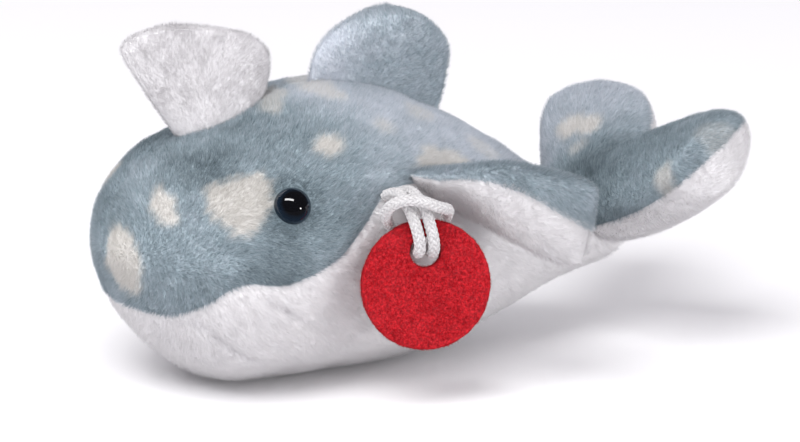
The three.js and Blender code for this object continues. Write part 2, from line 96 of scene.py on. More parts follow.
# Spout
spout_along = 15.4
spout_base = 14.4
spout_reach = 27
spout_height = 17.3
spout_thickness = 5
spout_lead_shares = [
    (-0.06, -0.07), (-0.13, 0.05), (-0.24, 0.26), (-0.34, 0.5), (-0.42, 0.71), (-0.435, 0.82),
    (-0.375, 0.93), (-0.22, 1), (-0.05, 1),
]
spout_trail_shares = [
    (0.5, 0.22), (0.54, 0.37), (0.56, 0.55), (0.52, 0.72), (0.4, 0.86), (0.2, 0.95), (-0.05, 1),
]

# Dorsal fin
fin_along = 36
fin_length = 26.5
fin_height = 10.7
fin_thickness = 9
fin_lead_shares = [
    (0, -0.08), (0.025, 0.28), (0.085, 0.52), (0.2, 0.77), (0.35, 0.93), (0.48, 1), (0.6, 0.995),
]
fin_trail_shares = [
    (0.9, -0.66), (0.955, -0.36), (0.985, 0), (0.98, 0.32), (0.89, 0.64), (0.76, 0.88), (0.6, 0.995),
]

# Flippers
flipper_along = 43.5
flipper_root_share = 0.713
flipper_root_fall = 3
flipper_length = 26
flipper_chord = 17
flipper_thickness = 15
flipper_sweep = math.radians(52)
flipper_droop = math.radians(10)
flipper_twist = math.radians(22)
flipper_lead_shares = [
    (-0.2, 0.3), (0.1, 0.48), (0.35, 0.6), (0.6, 0.6), (0.8, 0.48), (0.94, 0.26), (0.98, 0.04),
]
flipper_trail_shares = [
    (-0.2, -0.7), (0.15, -0.5), (0.4, -0.43), (0.62, -0.36), (0.8, -0.22), (0.93, -0.08), (0.98, 0.04),
]

# Tail flukes
tail_inset = 8
tail_pitch = math.radians(37)
fluke_length = 28
fluke_span = 56
fluke_thickness = 14.5
fluke_rise = 4.5
fluke_roll = math.radians(4.5)  # the left lobe up
fluke_lead_shares = [(-1, 0.56), (-0.94, 0.4), (-0.76, 0.25), (-0.5, 0.12), (-0.2, 0)]
fluke_trail_shares = [(-1, 0.56), (-0.99, 0.76), (-0.86, 0.94), (-0.64, 1), (-0.4, 0.95), (-0.17, 0.8)]
fluke_notch_share = 0.6
fluke_left_growth = 0.07
fluke_right_growth = -0.06
fluke_left_sag = 0.25  # how much fuller the left lobe is below
fluke_root_sag = 0.22  # how much fuller the flukes are below, left of the tail stock's middle
fluke_root_across = -8  # where they are fullest there
fluke_root_reach = 9

# Pads: thickness as a share of the full one, and place as a share of the way to the tip
seam_thin_share = 0.3
spout_foot_share = 1.7  # stuffing has sunk to the spout's foot
full_share = 0.45  # where a pad has its full thickness

# Hang tag and cord
tag_diameter = 20.8
tag_thickness = 1.6
tag_edge = 0.4  # how far the felt's edges are rounded
hole_diameter = 5
hole_rise = 5.3
tag_along = 43.6
tag_out = 30.2
tag_height = 20.1
tag_turn = math.radians(-13)
tag_lean = math.radians(7)
cord_diameter = 2
# The cord's route in the disc's frame: right, up and out of its front
cord_route = [
    (-5.1, 13.8, -5.55), (-4.4, 14.4, -3.5), (-3.6, 14.5, -1.6), (-3.15, 13.4, 0.3), (-2.4, 11.5, 1.4),
    (-1.75, 9.4, 1.6), (-1.35, 7.6, 1.5), (-1.15, 6, 0.9), (-1.15, 5.2, -0.7), (-1.2, 5.3, -2.3),
    (-2.2, 6.6, -3.1), (-3.9, 8.2, -3.2), (-5.3, 9.8, -2.8), (-6.1, 11.3, -1), (-6, 12.6, 0.7),
    (-5, 13.7, 2.2), (-3.2, 14.2, 3.1), (-1.1, 13.9, 3.3), (0.9, 13.1, 2.8), (2.7, 12.3, 1.1),
    (3.8, 11.8, -0.7), (4.2, 11.1, -2.2), (3.8, 9.5, -3.1), (2.9, 7.7, -3.2), (1.9, 6.2, -3),
    (1.2, 5.3, -2.2), (1.15, 5.2, -0.6), (1.15, 6, 0.9), (0.95, 7.6, 1.5), (0.55, 9.4, 1.6),
    (0, 11.5, 1.4), (-0.8, 13.4, 0.3), (-1.4, 14.5, -2), (-2, 14.55, -4.45), (-2.85, 13.9, -6.45),
]


# Meshes

def in_frame(points):
    """Millimetres from the tip of the nose, as metres of the part's frame."""
    return np.asarray(points, float) * MM + np.array([nose_tip, 0, 0])


def make_mesh(name, points, faces, material, values=None, cells=None):
    """faces is a list of arrays, each of faces that have the same number of corners.

    values are numbers held by the points, by name, and cells are places on the bake's map.
    """
    points = in_frame(points)
    sizes = np.concatenate([np.full(len(group), group.shape[1]) for group in faces])
    corners = np.concatenate([group.ravel() for group in faces]).astype(np.int32)
    mesh = bpy.data.meshes.new(name)
    mesh.vertices.add(len(points))
    mesh.vertices.foreach_set("co", points.astype(np.float32).ravel())
    mesh.loops.add(len(corners))
    mesh.loops.foreach_set("vertex_index", corners)
    mesh.polygons.add(len(sizes))
    starts = np.concatenate([[0], np.cumsum(sizes)[:-1]])
    mesh.polygons.foreach_set("loop_start", starts.astype(np.int32))
    mesh.polygons.foreach_set("use_smooth", np.ones(len(sizes), bool))
    mesh.materials.append(material)
    for word, numbers in (values or {}).items():
        attribute = mesh.attributes.new(word, "FLOAT", "POINT")
        attribute.data.foreach_set("value", numbers.astype(np.float32).ravel())
    if cells is not None:
        layer = mesh.uv_layers.new(name="OFBake")
        layer.data.foreach_set("uv", cells[corners].astype(np.float32).ravel())
    mesh.update(calc_edges=True)
    piece = bpy.data.objects.new(name, mesh)
    bpy.context.scene.collection.objects.link(piece)
    return piece


def grid_faces(rows, columns, closed=False):
    """The quads between the points of a grid, which may close on itself across its columns."""
    across = columns if closed else columns - 1
    i, j = np.meshgrid(np.arange(rows - 1), np.arange(across), indexing="ij")
    k = (j + 1) % columns
    quads = np.stack([i * columns + j, (i + 1) * columns + j, (i + 1) * columns + k, i * columns + k], -1)
    return quads.reshape(-1, 4)


def grid_mesh(name, points, material, values=None, closed=False, side=1):
    """The mesh of a grid of points. side is -1 where its faces have to be turned over."""
    faces = grid_faces(*points.shape[:2], closed)[:, ::side]
    return make_mesh(name, points.reshape(-1, 3), [faces], material, values)


def unit(vectors):
    return vectors / np.maximum(np.linalg.norm(vectors, axis=-1, keepdims=True), 1e-9)


def mirrored(points):
    return points * np.array([1, -1, 1])


# Lines

def smooth_line(pairs):
    """A smooth line through (place, value) pairs, read at any places."""
    places, values = np.array(pairs, float).T
    last = len(places) - 1
    before = np.maximum(np.arange(last + 1) - 1, 0)
    after = np.minimum(np.arange(last + 1) + 1, last)
    slopes = (values[after] - values[before]) / (places[after] - places[before])

    def read(at):
        i = np.clip(np.searchsorted(places, at) - 1, 0, last - 1)
        span = places[i + 1] - places[i]
        t = (at - places[i]) / span
        left = 1 - t
        start = left * left * (values[i] * (1 + 2 * t) + slopes[i] * span * t)
        end = t * t * (values[i + 1] * (3 - 2 * t) - slopes[i + 1] * span * left)
        return start + end

    return read


def edge(shares, across, along):
    """A curve through points that are shares of two sizes, read at 0 to 1."""
    knots = np.array(shares, float) * [across, along]
    knots = np.vstack([knots[0], knots, knots[-1]])

    def read(at):
        place = np.clip(at, 0, 1) * (len(knots) - 3)
        i = np.minimum(place.astype(int), len(knots) - 4)
        t = (place - i)[..., None]
        p0, p1, p2, p3 = knots[i], knots[i + 1], knots[i + 2], knots[i + 3]
        a, b = (p2 - p0) / 2, (p3 - p1) / 2
        return (2 * p1 - 2 * p2 + a + b) * t**3 + (3 * p2 - 3 * p1 - 2 * a - b) * t**2 + a * t + p1

    return read


def ripple(points, size, seed):
    """A smooth, uneven value from -1 to 1 over space, with swells of about the given size."""
    rng = np.random.default_rng(seed)
    total = 0
    count = 6
    for _ in range(count):
        way = unit(rng.normal(size=3)) * rng.uniform(0.7, 1.5)
        total = total + np.sin(points @ way * (2 * math.pi / size) + rng.uniform(0, 2 * math.pi))
    return total / count * 1.8


# Body surface

back_line = smooth_line(back_shares)
belly_line = smooth_line(belly_shares)
width_line = smooth_line(width_shares)
seam_line = smooth_line(seam_shares)


def section(x):
    """Middle height, half height, half width and top of the body at places along it."""
    share = x / body_length
    grown = np.sqrt(1 - np.maximum(0, 1 - x / nose_length) ** 2)
    top = nose_height + (body_height * back_line(share) - nose_height) * grown
    bottom = nose_height - (nose_height - body_height * belly_line(share) + flat_depth) * grown
    half_width = body_width / 2 * width_line(share) * grown
    return (top + bottom) / 2, (top - bottom) / 2, half_width, top


def body_point(x, around):
    """around is 0 at the belly, 1 at the back by way of the left side and -1 by the right."""
    middle, half_height, half_width, _ = section(x)
    angle = math.pi * around
    return np.stack([x + 0 * angle, -half_width * np.sin(angle), middle - half_height * np.cos(angle)], -1)


def body_normal(x, around):
    hair = 0.01
    x = np.maximum(x, 2 * hair)
    along = body_point(x + hair, around) - body_point(x - hair, around)
    across = body_point(x, around + hair) - body_point(x, around - hair)
    return unit(np.cross(along, across))


def cover_point(x, around, distance):
    return body_point(x, around) + body_normal(x, around) * distance


def round_at(x, height):
    middle, half_height, _, _ = section(x)
    return np.arccos(np.clip((middle - height) / np.maximum(half_height, 1e-6), -1, 1)) / math.pi


def seam_round(x):
    return np.where(x > chin_start, round_at(x, body_height * seam_line(x / body_length)), 0)


# The tail stock ends in a round knuckle, and the flukes turn about its axis
tail_along = body_length - tail_inset
knuckle_middle, knuckle_radius, _, _ = (float(value) for value in section(np.array(float(tail_along))))
knuckle = np.array([tail_along, 0, knuckle_middle])


def round_ended(points, normals, radius):
    """Points and normals behind the knuckle's axis, drawn in to a round end."""
    away = (points - knuckle) * [1, 0, 1]
    reach = np.linalg.norm(away, axis=-1, keepdims=True)
    out = away / np.maximum(reach, 1e-6)
    beyond = (away[..., :1] > 0) & (reach > radius)
    points = np.where(beyond, points - out * (reach - radius), points)
    return points, np.where(beyond, unit(out + normals * [0, 1, 0]), normals)


# Cloth: a grid of points with the direction that its pile lies in

pile_depth = 0.75  # from the backing to the tips


@dataclass
class Cloth:
    points: np.ndarray
    normals: np.ndarray
    flow: np.ndarray
    pale: np.ndarray  # 1 where the pile is cream instead of blue-grey
    tone_and_painted_light: np.ndarray  # how light the pile looks there: a random tone, and painted light and shade; a half is plain


def grid_normals(points):
    """Normals of a grid, which may shrink to a point at an end."""
    along = np.gradient(points, axis=0)
    across = np.gradient(points, axis=1)
    normals = np.cross(along, across)
    size = np.linalg.norm(normals, axis=-1, keepdims=True)
    weak = size[..., 0] < 0.02 * np.median(size)
    normals = unit(normals)
    for i in range(1, len(points)):
        normals[i][weak[i]] = normals[i - 1][weak[i]]
    for i in range(len(points) - 2, -1, -1):
        normals[i][weak[i]] = normals[i + 1][weak[i]]
    return normals


def settled(points, outward):
    """Grid points moved in by the pile's depth, and their normals, facing outward."""
    normals = grid_normals(points)
    if (normals * outward).sum() < 0:
        normals = -normals
    return points - normals * pile_depth, normals


def along_surface(vectors, normals):
    return unit(vectors - (vectors * normals).sum(-1, keepdims=True) * normals)


# Materials

def new_material(name):
    material = bpy.data.materials.new(name)
    material.use_nodes = True
    shader = material.node_tree.nodes["Principled BSDF"]
    return material, material.node_tree.nodes, material.node_tree.links, shader


def number_node(nodes, word):
    node = nodes.new("ShaderNodeAttribute")
    node.attribute_name = word
    return node.outputs["Fac"]


def noise_node(nodes, size, detail=3):
    """Noise in the piece's own coordinates, with swells of about size millimetres."""
    coordinates = nodes.new("ShaderNodeTexCoord")
    noise = nodes.new("ShaderNodeTexNoise")
    noise.inputs["Scale"].default_value = 1 / (size * MM)
    noise.inputs["Detail"].default_value = detail
    coordinates.id_data.links.new(coordinates.outputs["Object"], noise.inputs["Vector"])
    return noise.outputs["Fac"]


def ramp_node(nodes, factor, stops):
    """A colour ramp through (place, colour) stops."""
    ramp = nodes.new("ShaderNodeValToRGB")
    elements = ramp.color_ramp.elements
    while len(elements) < len(stops):
        elements.new(0.5)
    for element, (place, color) in zip(elements, stops):
        element.position = place
        element.color = (*color, 1)
    ramp.id_data.links.new(factor, ramp.inputs["Fac"])
    return ramp.outputs["Color"]


def level_node(nodes, factors):
    """A half, and what each output has over a half, by its weight in (output, weight) pairs."""
    total = None
    for output, weight in factors:
        add = nodes.new("ShaderNodeMath")
        add.operation = "MULTIPLY_ADD"
        add.inputs[1].default_value = weight
        add.inputs[2].default_value = 0.5 - sum(weight for _, weight in factors) / 2
        add.id_data.links.new(output, add.inputs[0])
        if total is not None:
            add.id_data.links.new(total, add.inputs[2])
        total = add.outputs["Value"]
    return total


# The cloths' colours, from dark to light. Their dark and light ends show painted shade and painted light as
# well as tone
blue_shades = [(0.14, 0.185, 0.21), (0.4, 0.478, 0.52), (0.7, 0.73, 0.78)]
cream_shades = [(0.6, 0.585, 0.555), (0.73, 0.715, 0.69), (0.79, 0.78, 0.765)]
white_shades = [(0.5, 0.485, 0.5), (0.8, 0.79, 0.8), (0.85, 0.84, 0.845), (0.89, 0.88, 0.885)]
red_shades = [(0.16, 0.002, 0.006), (0.5, 0.007, 0.016), (0.68, 0.018, 0.032)]


def cloth_material(name, shades, strands, fleck, sheen=0.1):
    """Pile fabric, with cream spots where the points' number "pale" is 1.

    shades go from dark to light. The points' number for tone and painted light and shade says which is
    seen.
    Strands also have their own tones, fleck apart, and go from darker roots to lighter tips.
    """
    material, nodes, links, shader = new_material(name)
    # The first number carries painted light and painted shade as well as a random tone
    factors = [(number_node(nodes, "tone_and_painted_light"), 1), (noise_node(nodes, 9), 0.35), (noise_node(nodes, 2.2), 0.3)]
    if strands:
        factors += [(number_node(nodes, "tone"), fleck), (number_node(nodes, "tip"), 0.2 * fleck)]
    else:
        factors += [(noise_node(nodes, 0.5, 5), 0.5 * fleck)]
    level = level_node(nodes, factors)
    mix = nodes.new("ShaderNodeMix")
    mix.data_type = "RGBA"
    links.new(number_node(nodes, "pale"), mix.inputs["Factor"])
    for socket, stops in (("A", shades), ("B", cream_shades)):
        places = np.linspace(0, 1, len(stops))
        links.new(ramp_node(nodes, level, list(zip(places, stops))), mix.inputs[socket])
    links.new(mix.outputs["Result"], shader.inputs["Base Color"])
    shader.inputs["Roughness"].default_value = 0.85
    shader.inputs["Specular IOR Level"].default_value = 0.15
    shader.inputs["Sheen Weight"].default_value = sheen
    shader.inputs["Sheen Roughness"].default_value = 0.4
    if strands:
        let_through(nodes, links, shader, mix.outputs["Result"], 0.5)
    return material


def let_through(nodes, links, shader, color, share):
    """Lets a share of the light through to the strands' other side."""
    glow = nodes.new("ShaderNodeBsdfTranslucent")
    both = nodes.new("ShaderNodeMixShader")
    both.inputs["Fac"].default_value = share
    links.new(color, glow.inputs["Color"])
    links.new(shader.outputs["BSDF"], both.inputs[1])
    links.new(glow.outputs["BSDF"], both.inputs[2])
    links.new(both.outputs["Shader"], nodes["Material Output"].inputs["Surface"])


def relief_node(nodes, shader, size, height):
    relief = nodes.new("ShaderNodeBump")
    relief.inputs["Strength"].default_value = 1
    relief.inputs["Distance"].default_value = height * MM
    relief.id_data.links.new(noise_node(nodes, size, 5), relief.inputs["Height"])
    relief.id_data.links.new(relief.outputs["Normal"], shader.inputs["Normal"])


def mottled_material(name, dark, light, size, roughness, relief_size, relief_height):
    """A colour that wanders between two, with a fine relief."""
    material, nodes, links, shader = new_material(name)
    color = ramp_node(nodes, noise_node(nodes, size, 5), [(0.35, dark), (0.65, light)])
    links.new(color, shader.inputs["Base Color"])
    shader.inputs["Roughness"].default_value = roughness
    relief_node(nodes, shader, relief_size, relief_height)
    return material


blue_pile = cloth_material("blue_grey_pile", blue_shades, strands=True, fleck=0.95)
blue_backing = cloth_material("blue_grey_backing", blue_shades, strands=False, fleck=1)
white_pile = cloth_material("white_pile", white_shades, strands=True, fleck=0.2)
white_backing = cloth_material("white_backing", white_shades, strands=False, fleck=0.3)
felt_pile = cloth_material("red_felt_fibres", red_shades, strands=True, fleck=1, sheen=0)
felt_material = mottled_material(
    "red_felt", (0.26, 0.003, 0.009), (0.6, 0.01, 0.02),
    size=0.4, roughness=0.9, relief_size=0.25, relief_height=0.12,
)
fill_material = mottled_material(
    "polyester_fill", (0.8, 0.8, 0.8), (0.92, 0.92, 0.92),
    size=4, roughness=0.95, relief_size=1, relief_height=0.4,
)
washer_material = mottled_material(
    "washer_nylon", (0.76, 0.76, 0.74), (0.82, 0.82, 0.8),
    size=5, roughness=0.45, relief_size=0.4, relief_height=0.02,
)
braid_material = mottled_material(
    "white_braid", (0.54, 0.525, 0.53), (0.68, 0.67, 0.675),
    size=0.5, roughness=0.6, relief_size=0.12, relief_height=0.03,
)


def eye_material():
    """Gloss black, with navy painted round its edge: a painted reflection of the blue-grey pile round it.
    """
    material, nodes, links, shader = new_material("black_eye")
    rim = number_node(nodes, "rim")
    # Painted reflection: navy towards the edge
    color = ramp_node(nodes, rim, [(0.62, (0.002, 0.002, 0.003)), (0.86, (0.005, 0.012, 0.023))])
    links.new(color, shader.inputs["Base Color"])
    spread = nodes.new("ShaderNodeMapRange")
    spread.inputs["To Min"].default_value = 0.03
    spread.inputs["To Max"].default_value = 0.07
    links.new(noise_node(nodes, 1.5), spread.inputs["Value"])
    links.new(spread.outputs["Result"], shader.inputs["Roughness"])
    shader.inputs["Coat Weight"].default_value = 0.6
    return material


# Pile: short tapering strands that lie along the cloth

def scatter(cloth, density, rng):
    """Places on the cloth at random, with what the cloth has there."""
    p = cloth.points
    diagonals = np.cross(p[1:, 1:] - p[:-1, :-1], p[1:, :-1] - p[:-1, 1:])
    area = np.linalg.norm(diagonals, axis=-1) / 2
    count = int(area.sum() * density)
    cells = rng.choice(area.size, size=count, p=area.ravel() / area.sum())
    i, j = np.unravel_index(cells, area.shape)
    down, across = rng.random((2, count))

    def read(values):
        s, t = (down, across) if values.ndim == 2 else (down[:, None], across[:, None])
        near = values[i, j] * (1 - t) + values[i, j + 1] * t
        far = values[i + 1, j] * (1 - t) + values[i + 1, j + 1] * t
        return near * (1 - s) + far * s

    return read(p), unit(read(cloth.normals)), unit(read(cloth.flow)), read(cloth.pale), read(cloth.tone_and_painted_light)


def turned(vectors, axes, angles):
    """Vectors that are square to their axes, turned about them."""
    angles = angles[:, None]
    return vectors * np.cos(angles) + np.cross(axes, vectors) * np.sin(angles)


tuft_size = 0.35
tuft_pull = 0.3  # how far a tuft's tips are drawn together
tuft_primes = (73856093, 19349663, 83492791)  # they make one key of a cell's three numbers


def tufts(points):
    """Which small tuft each point is in."""
    cells = np.floor(points / tuft_size).astype(np.int64)
    keys = np.bitwise_xor.reduce(cells * tuft_primes, axis=1)
    return np.unique(keys, return_inverse=True)[1]


def gathered(points, tips, tuft):
    """Tips drawn together in each tuft."""
    count = np.bincount(tuft)

    def middle(values):
        return np.stack([np.bincount(tuft, values[:, k]) / count for k in range(3)], -1)[tuft]

    return tips + (middle(points) + middle(tips - points) - tips) * tuft_pull


def map_cells(count):
    """Each strand's three corners on the bake's map: one small cell for each, in rows."""
    across = int(math.ceil(math.sqrt(count)))
    k = np.arange(count)
    corner = np.stack([k % across, k // across], -1) / across
    shape = np.array([(0.08, 0.08), (0.92, 0.08), (0.5, 0.92)]) / across
    return (corner[:, None] + shape).reshape(-1, 2)


# How the pile varies. A swell is smooth over the cloth and has a size, and a scatter is from
# strand to strand
sweep_swell = 0.3  # of the way it lies, in radians
sweep_size = 14
length_swell = 0.15
length_size = 5
length_range = (0.7, 1.15)
lean_swell = 9  # degrees
lean_size = 8
lean_scatter = 10  # degrees
most_twist = 0.6  # radians, about the strand's own line
tone_scatter = 0.15
tuft_tone_scatter = 0.06
ragged_scatter = 0.9  # at the spots' rims
side_shine = 0.35  # how far a strand is shaded by its own flat side
shine_scatter = 0.22
least_share = 0.05  # of full length: shorter strands are left out
least_height = 0.05  # above the floor


def pile(name, cloth, material, seed, length=1.02, lean=50, density=50, width=0.062, swirl=0.32,
         even=0.0, clear=None):
    """Strands of pile on a cloth.

    even is how far all of them catch the light as the cloth's middle does, and clear takes
    roots and gives each one's share of full length.
    """
    rng = np.random.default_rng(seed)
    found = scatter(cloth, density, rng)
    share = np.ones(len(found[0])) if clear is None else clear(found[0])
    keep = share > least_share
    roots, normals, flow, pale, tone_and_painted_light, share = (values[keep] for values in (*found, share))
    count = len(roots)
    aside = sweep_swell * ripple(roots, sweep_size, seed) + swirl * rng.normal(size=count)
    flow = turned(along_surface(flow, normals), normals, aside)
    swell = 1 + length_swell * ripple(roots, length_size, seed + 1)
    lengths = length * share * rng.uniform(*length_range, count) * swell
    swell = lean_swell * ripple(roots, lean_size, seed + 2)
    tilt = np.radians(lean + swell + rng.normal(0, lean_scatter, count))
    way = normals * np.cos(tilt)[:, None] + flow * np.sin(tilt)[:, None]
    tuft = tufts(roots)
    tips = gathered(roots, roots + way * lengths[:, None], tuft)
    way = unit(tips - roots)
    side = turned(unit(np.cross(way, normals)), way, rng.uniform(-most_twist, most_twist, count))
    half = side * width / 2
    points = np.stack([roots - half, roots + half, tips], 1)
    points[..., 2] = np.maximum(points[..., 2], least_height)
    tone = 0.5 + tone_scatter * rng.normal(size=count)
    tone = tone + tuft_tone_scatter * rng.normal(size=tuft.max() + 1)[tuft]
    ragged = pale + ragged_scatter * pale * (1 - pale) * rng.normal(size=count)
    values = {
        "pale": np.repeat(np.clip(ragged, 0, 1), 3),
        "tone_and_painted_light": np.repeat(tone_and_painted_light, 3),
        "tone": np.repeat(tone, 3),
        "tip": np.tile([0.0, 0.0, 1.0], count),
    }
    faces = np.arange(3 * count).reshape(-1, 3)
    piece = make_mesh(name, points.reshape(-1, 3), [faces], material, values, map_cells(count))
    facing = normals + even * unit(normals.mean(0)) + side_shine * unit(np.cross(side, way))
    lifted = unit(facing + shine_scatter * rng.normal(size=(count, 3)))
    piece.data.normals_split_custom_set_from_vertices(np.repeat(lifted, 3, axis=0).astype(np.float32))
    return piece


# The body's covers

# Cream spots on the left side: where each one's middle is along the body and round it, and
# its outline about that, back and up
side_spots = {
    "nose": (0.8, 0.496, [(-4.4, 3.9), (-0.5, 5.3), (2.9, 3.0), (4.7, -0.8), (3.9, -4.1), (1.2, -5.4),
                          (-2.3, -3.5), (-4.6, -1.2), (-4.8, 1.8)]),
    "muzzle": (6.2, 0.747, [(-3.4, 2.2), (-2.6, 3.7), (-0.3, 2.4), (1.9, 0.1), (3.3, -2), (0.7, -2.5),
                            (-2, -1.1)]),
    "beside_eye": (16.5, 0.706, [(-5.5, 0.6), (-5.3, 2.7), (-2.7, 3.6), (0.6, 4.7), (3.6, 5.6), (5, 3.4),
                                 (5, -0.7), (3.8, -3), (1.7, -5), (0.3, -5.9), (-1.5, -4.9),
                                 (-3.4, -3.2), (-5, -1.4)]),
    "above_cheek": (32.8, 0.759, [(-2.5, 0.1), (-1.7, 1.7), (0.2, 2.3), (2.2, 1.4), (2.7, -0.5),
                                  (0.9, -1.7), (-1.3, -1.5)]),
    "back": (44.3, 0.803, [(-1.8, 0.8), (0.8, 1.3), (1.7, -0.2), (1.1, -1.5), (-0.9, -1.2)]),
    "ridge": (37.2, 0.941, [(-1.5, 5.2), (0.5, 4), (2.1, -0.3), (2.7, -4), (0.1, -3.8), (-2.1, -0.9)]),
    "crown": (28.6, 0.96, [(-5.2, 3.2), (-2.8, 3.3), (1.7, 0.5), (4.1, -2.7), (2.6, -3), (-1.1, -0.7)]),
    "shoulder": (53.1, 0.728, [(-6.2, 0.5), (-3.9, 1.6), (0.9, 1.1), (5.8, -0.6), (6.5, -1.7),
                               (-0.8, -1.1)]),
    "flank": (53, 0.879, [(-2.1, 1.5), (2.6, 0.8), (3, -1.7), (-1.3, -1.3), (-3, 0.6)]),
    "loin": (64, 0.823, [(-2.3, 2.8), (1.4, 1.4), (3.5, -2.4), (1.3, -2.8), (-2.3, -0.5)]),
    "rump": (88.6, 0.671, [(-1.3, 2), (4.3, 3.4), (4, 1.2), (1.2, -2.1), (-1.8, -2.9), (-3.2, -0.9)]),
}
spot_feather = 1.5
spot_limit = 9  # further than any spot reaches from its middle


def rim_wobble(points, seed):
    """How far a spot's rim wanders, as a share of its reach."""
    return 0.09 * ripple(points, 2.6, seed) + 0.06 * ripple(points, 1.1, seed + 1)


def inside(right, up, outline, wobble):
    """1 inside an outline about the origin and 0 outside, with a soft, ragged rim."""
    outline = np.array(outline, float)
    angles = np.arctan2(outline[:, 1], outline[:, 0])
    order = np.argsort(angles)
    reach = np.interp(np.arctan2(up, right), angles[order], np.hypot(*outline[order].T), period=2 * math.pi)
    return np.clip(0.5 + (reach * (1 + wobble) - np.hypot(right, up)) / spot_feather, 0, 1)


# Patches where the sides' pile looks darker or lighter: painted shade on the head and the tail stock, and
# painted light along the back.
# Along, around, reach and how much
side_painted_light_patches = [
    (13, 0.83, 5, -0.28), (26, 0.85, 7, -0.18), (30, 0.62, 9, -0.1), (20, 0.45, 9, -0.22),
    (50, 0.88, 17, 0.4), (68, 0.85, 12, 0.4), (88, 0.8, 8, -0.35), (36, 0.95, 7, 0.25),
]
eye_painted_shade = 0.8  # painted shade: how much darker the pile looks at the eyes, where they sink in
eye_painted_shade_reach = 0.62 * eye_diameter


# A random tone, the patches of painted light and shade above, and painted shade round the eyes
def side_tone_and_painted_light(points):
    tone_and_painted_light = 0.5 + 0.06 * ripple(points, 12, 15)
    for along, around, reach, amount in side_painted_light_patches:
        away = points - body_point(np.array(along), np.array(around))
        tone_and_painted_light = tone_and_painted_light + amount * np.exp(-((np.linalg.norm(away, axis=-1) / reach) ** 2))
    from_eye = np.linalg.norm(points - eye_seat, axis=-1)
    return tone_and_painted_light - eye_painted_shade * np.exp(-((from_eye / eye_painted_shade_reach) ** 2))


def side_spot_share(points, names):
    """How far each point of the left side is in one of the spots."""
    wobble = rim_wobble(points, 5)
    share = np.zeros(points.shape[:-1])
    for along, around, outline in (side_spots[name] for name in names):
        middle = body_point(np.array(along), np.array(around))
        normal = body_normal(np.array(along), np.array(around))
        back = unit(np.cross(normal, [0, 0, -1]))
        up = np.cross(back, normal)
        up = up if up[2] > 0 else -up
        away = points - middle
        near = np.linalg.norm(away, axis=-1) < spot_limit
        share = np.maximum(share, near * inside(away @ back, away @ up, outline, wobble))
    return share


def body_lumps(points):
    return 0.22 * ripple(points, 22, 11) + 0.1 * ripple(points, 9, 12)


def body_rows(count):
    nose = nose_length * (1 - np.cos(np.linspace(0, math.pi / 2, count // 3, endpoint=False)))
    return np.concatenate([nose, np.linspace(nose_length, body_length, count - len(nose))])


def ease(value, start, end):
    """0 before start, 1 after end and smooth between."""
    t = np.clip((value - start) / (end - start), 0, 1)
    return t * t * (3 - 2 * t)


def crease(distance, depth, width):
    return depth * np.exp(-((distance / width) ** 2))


def round_distance(x, share):
    """About how many millimetres a share of the way from belly to back is."""
    _, half_height, _, _ = section(x)
    return share * math.pi * half_height


seam_depth = 0.4
seam_width = 1.2
back_seam_depth = 0.3
back_seam_width = 1
dart_depth = 0.6
dart_width = 0.8
# Where each dart of the belly starts and ends, along the body and round it
dart_ends = [((8.3, 0.35), (21, 0.24)), ((17.8, 0.475), (29, 0.34))]


def side_seam_crease(x, share):
    """share is how far round from the side's seam."""
    return crease(round_distance(x, share), seam_depth, seam_width) * ease(x, 1, 5)


def darts(x, around):
    """1 in the middle of the two creases on each side of the belly, where the panel is shaped."""
    share = 0
    for (x0, a0), (x1, a1) in dart_ends:
        t = np.clip((x - x0) / (x1 - x0), 0, 1)
        off = round_distance(x, np.abs(around) - (a0 + (a1 - a0) * t))
        share = share + crease(off, 1, dart_width) * np.sin(math.pi * t) ** 0.5
    return share


def sunk(x, around, extra):
    """Backing points under the pile, with the stuffing's lumps, and their normals."""
    outer = body_point(x, around)
    normals = body_normal(x, around)
    points = outer + normals * (body_lumps(outer) - pile_depth - extra)[..., None]
    return round_ended(points, normals, knuckle_radius - pile_depth)


def closed_behind(cloth):
    """The cloth with rows added that close the tail stock's end."""
    middle = knuckle + np.array([knuckle_radius - pile_depth, 0, 0])
    shares = np.array([0.3, 0.6, 0.85, 1])[:, None, None]
    points = cloth.points[-1] * (1 - shares) + middle * shares
    rows = (len(shares), 1)
    return Cloth(
        np.concatenate([cloth.points, points]),
        np.concatenate([cloth.normals, 0 * points + [1, 0, 0]]),
        np.concatenate([cloth.flow, 0 * points + [0, 0, -1]]),
        np.concatenate([cloth.pale, np.tile(cloth.pale[-1], rows)]),
        np.concatenate([cloth.tone_and_painted_light, np.tile(cloth.tone_and_painted_light[-1], rows)]),
    )


def faintness(x, around):
    """How faint the spots are: more so by the back's seam, and high up behind the head."""
    by_seam = 0.3 * ease(around, 0.85, 0.92)
    behind_head = 0.5 * ease(x, 38, 46) * ease(around, 0.74, 0.79)
    return np.minimum(by_seam + behind_head, 0.5)


def side_pile_rise(x, around):
    """How far the pile lies above the way to the tail, in radians: below it low on the sides."""
    above = np.clip((around - 0.66) / 0.2, -1.2, 1)
    return np.radians(np.where(above > 0, 45 * above, 50 * above * (1 - 0.5 * ease(x, 18, 30))))


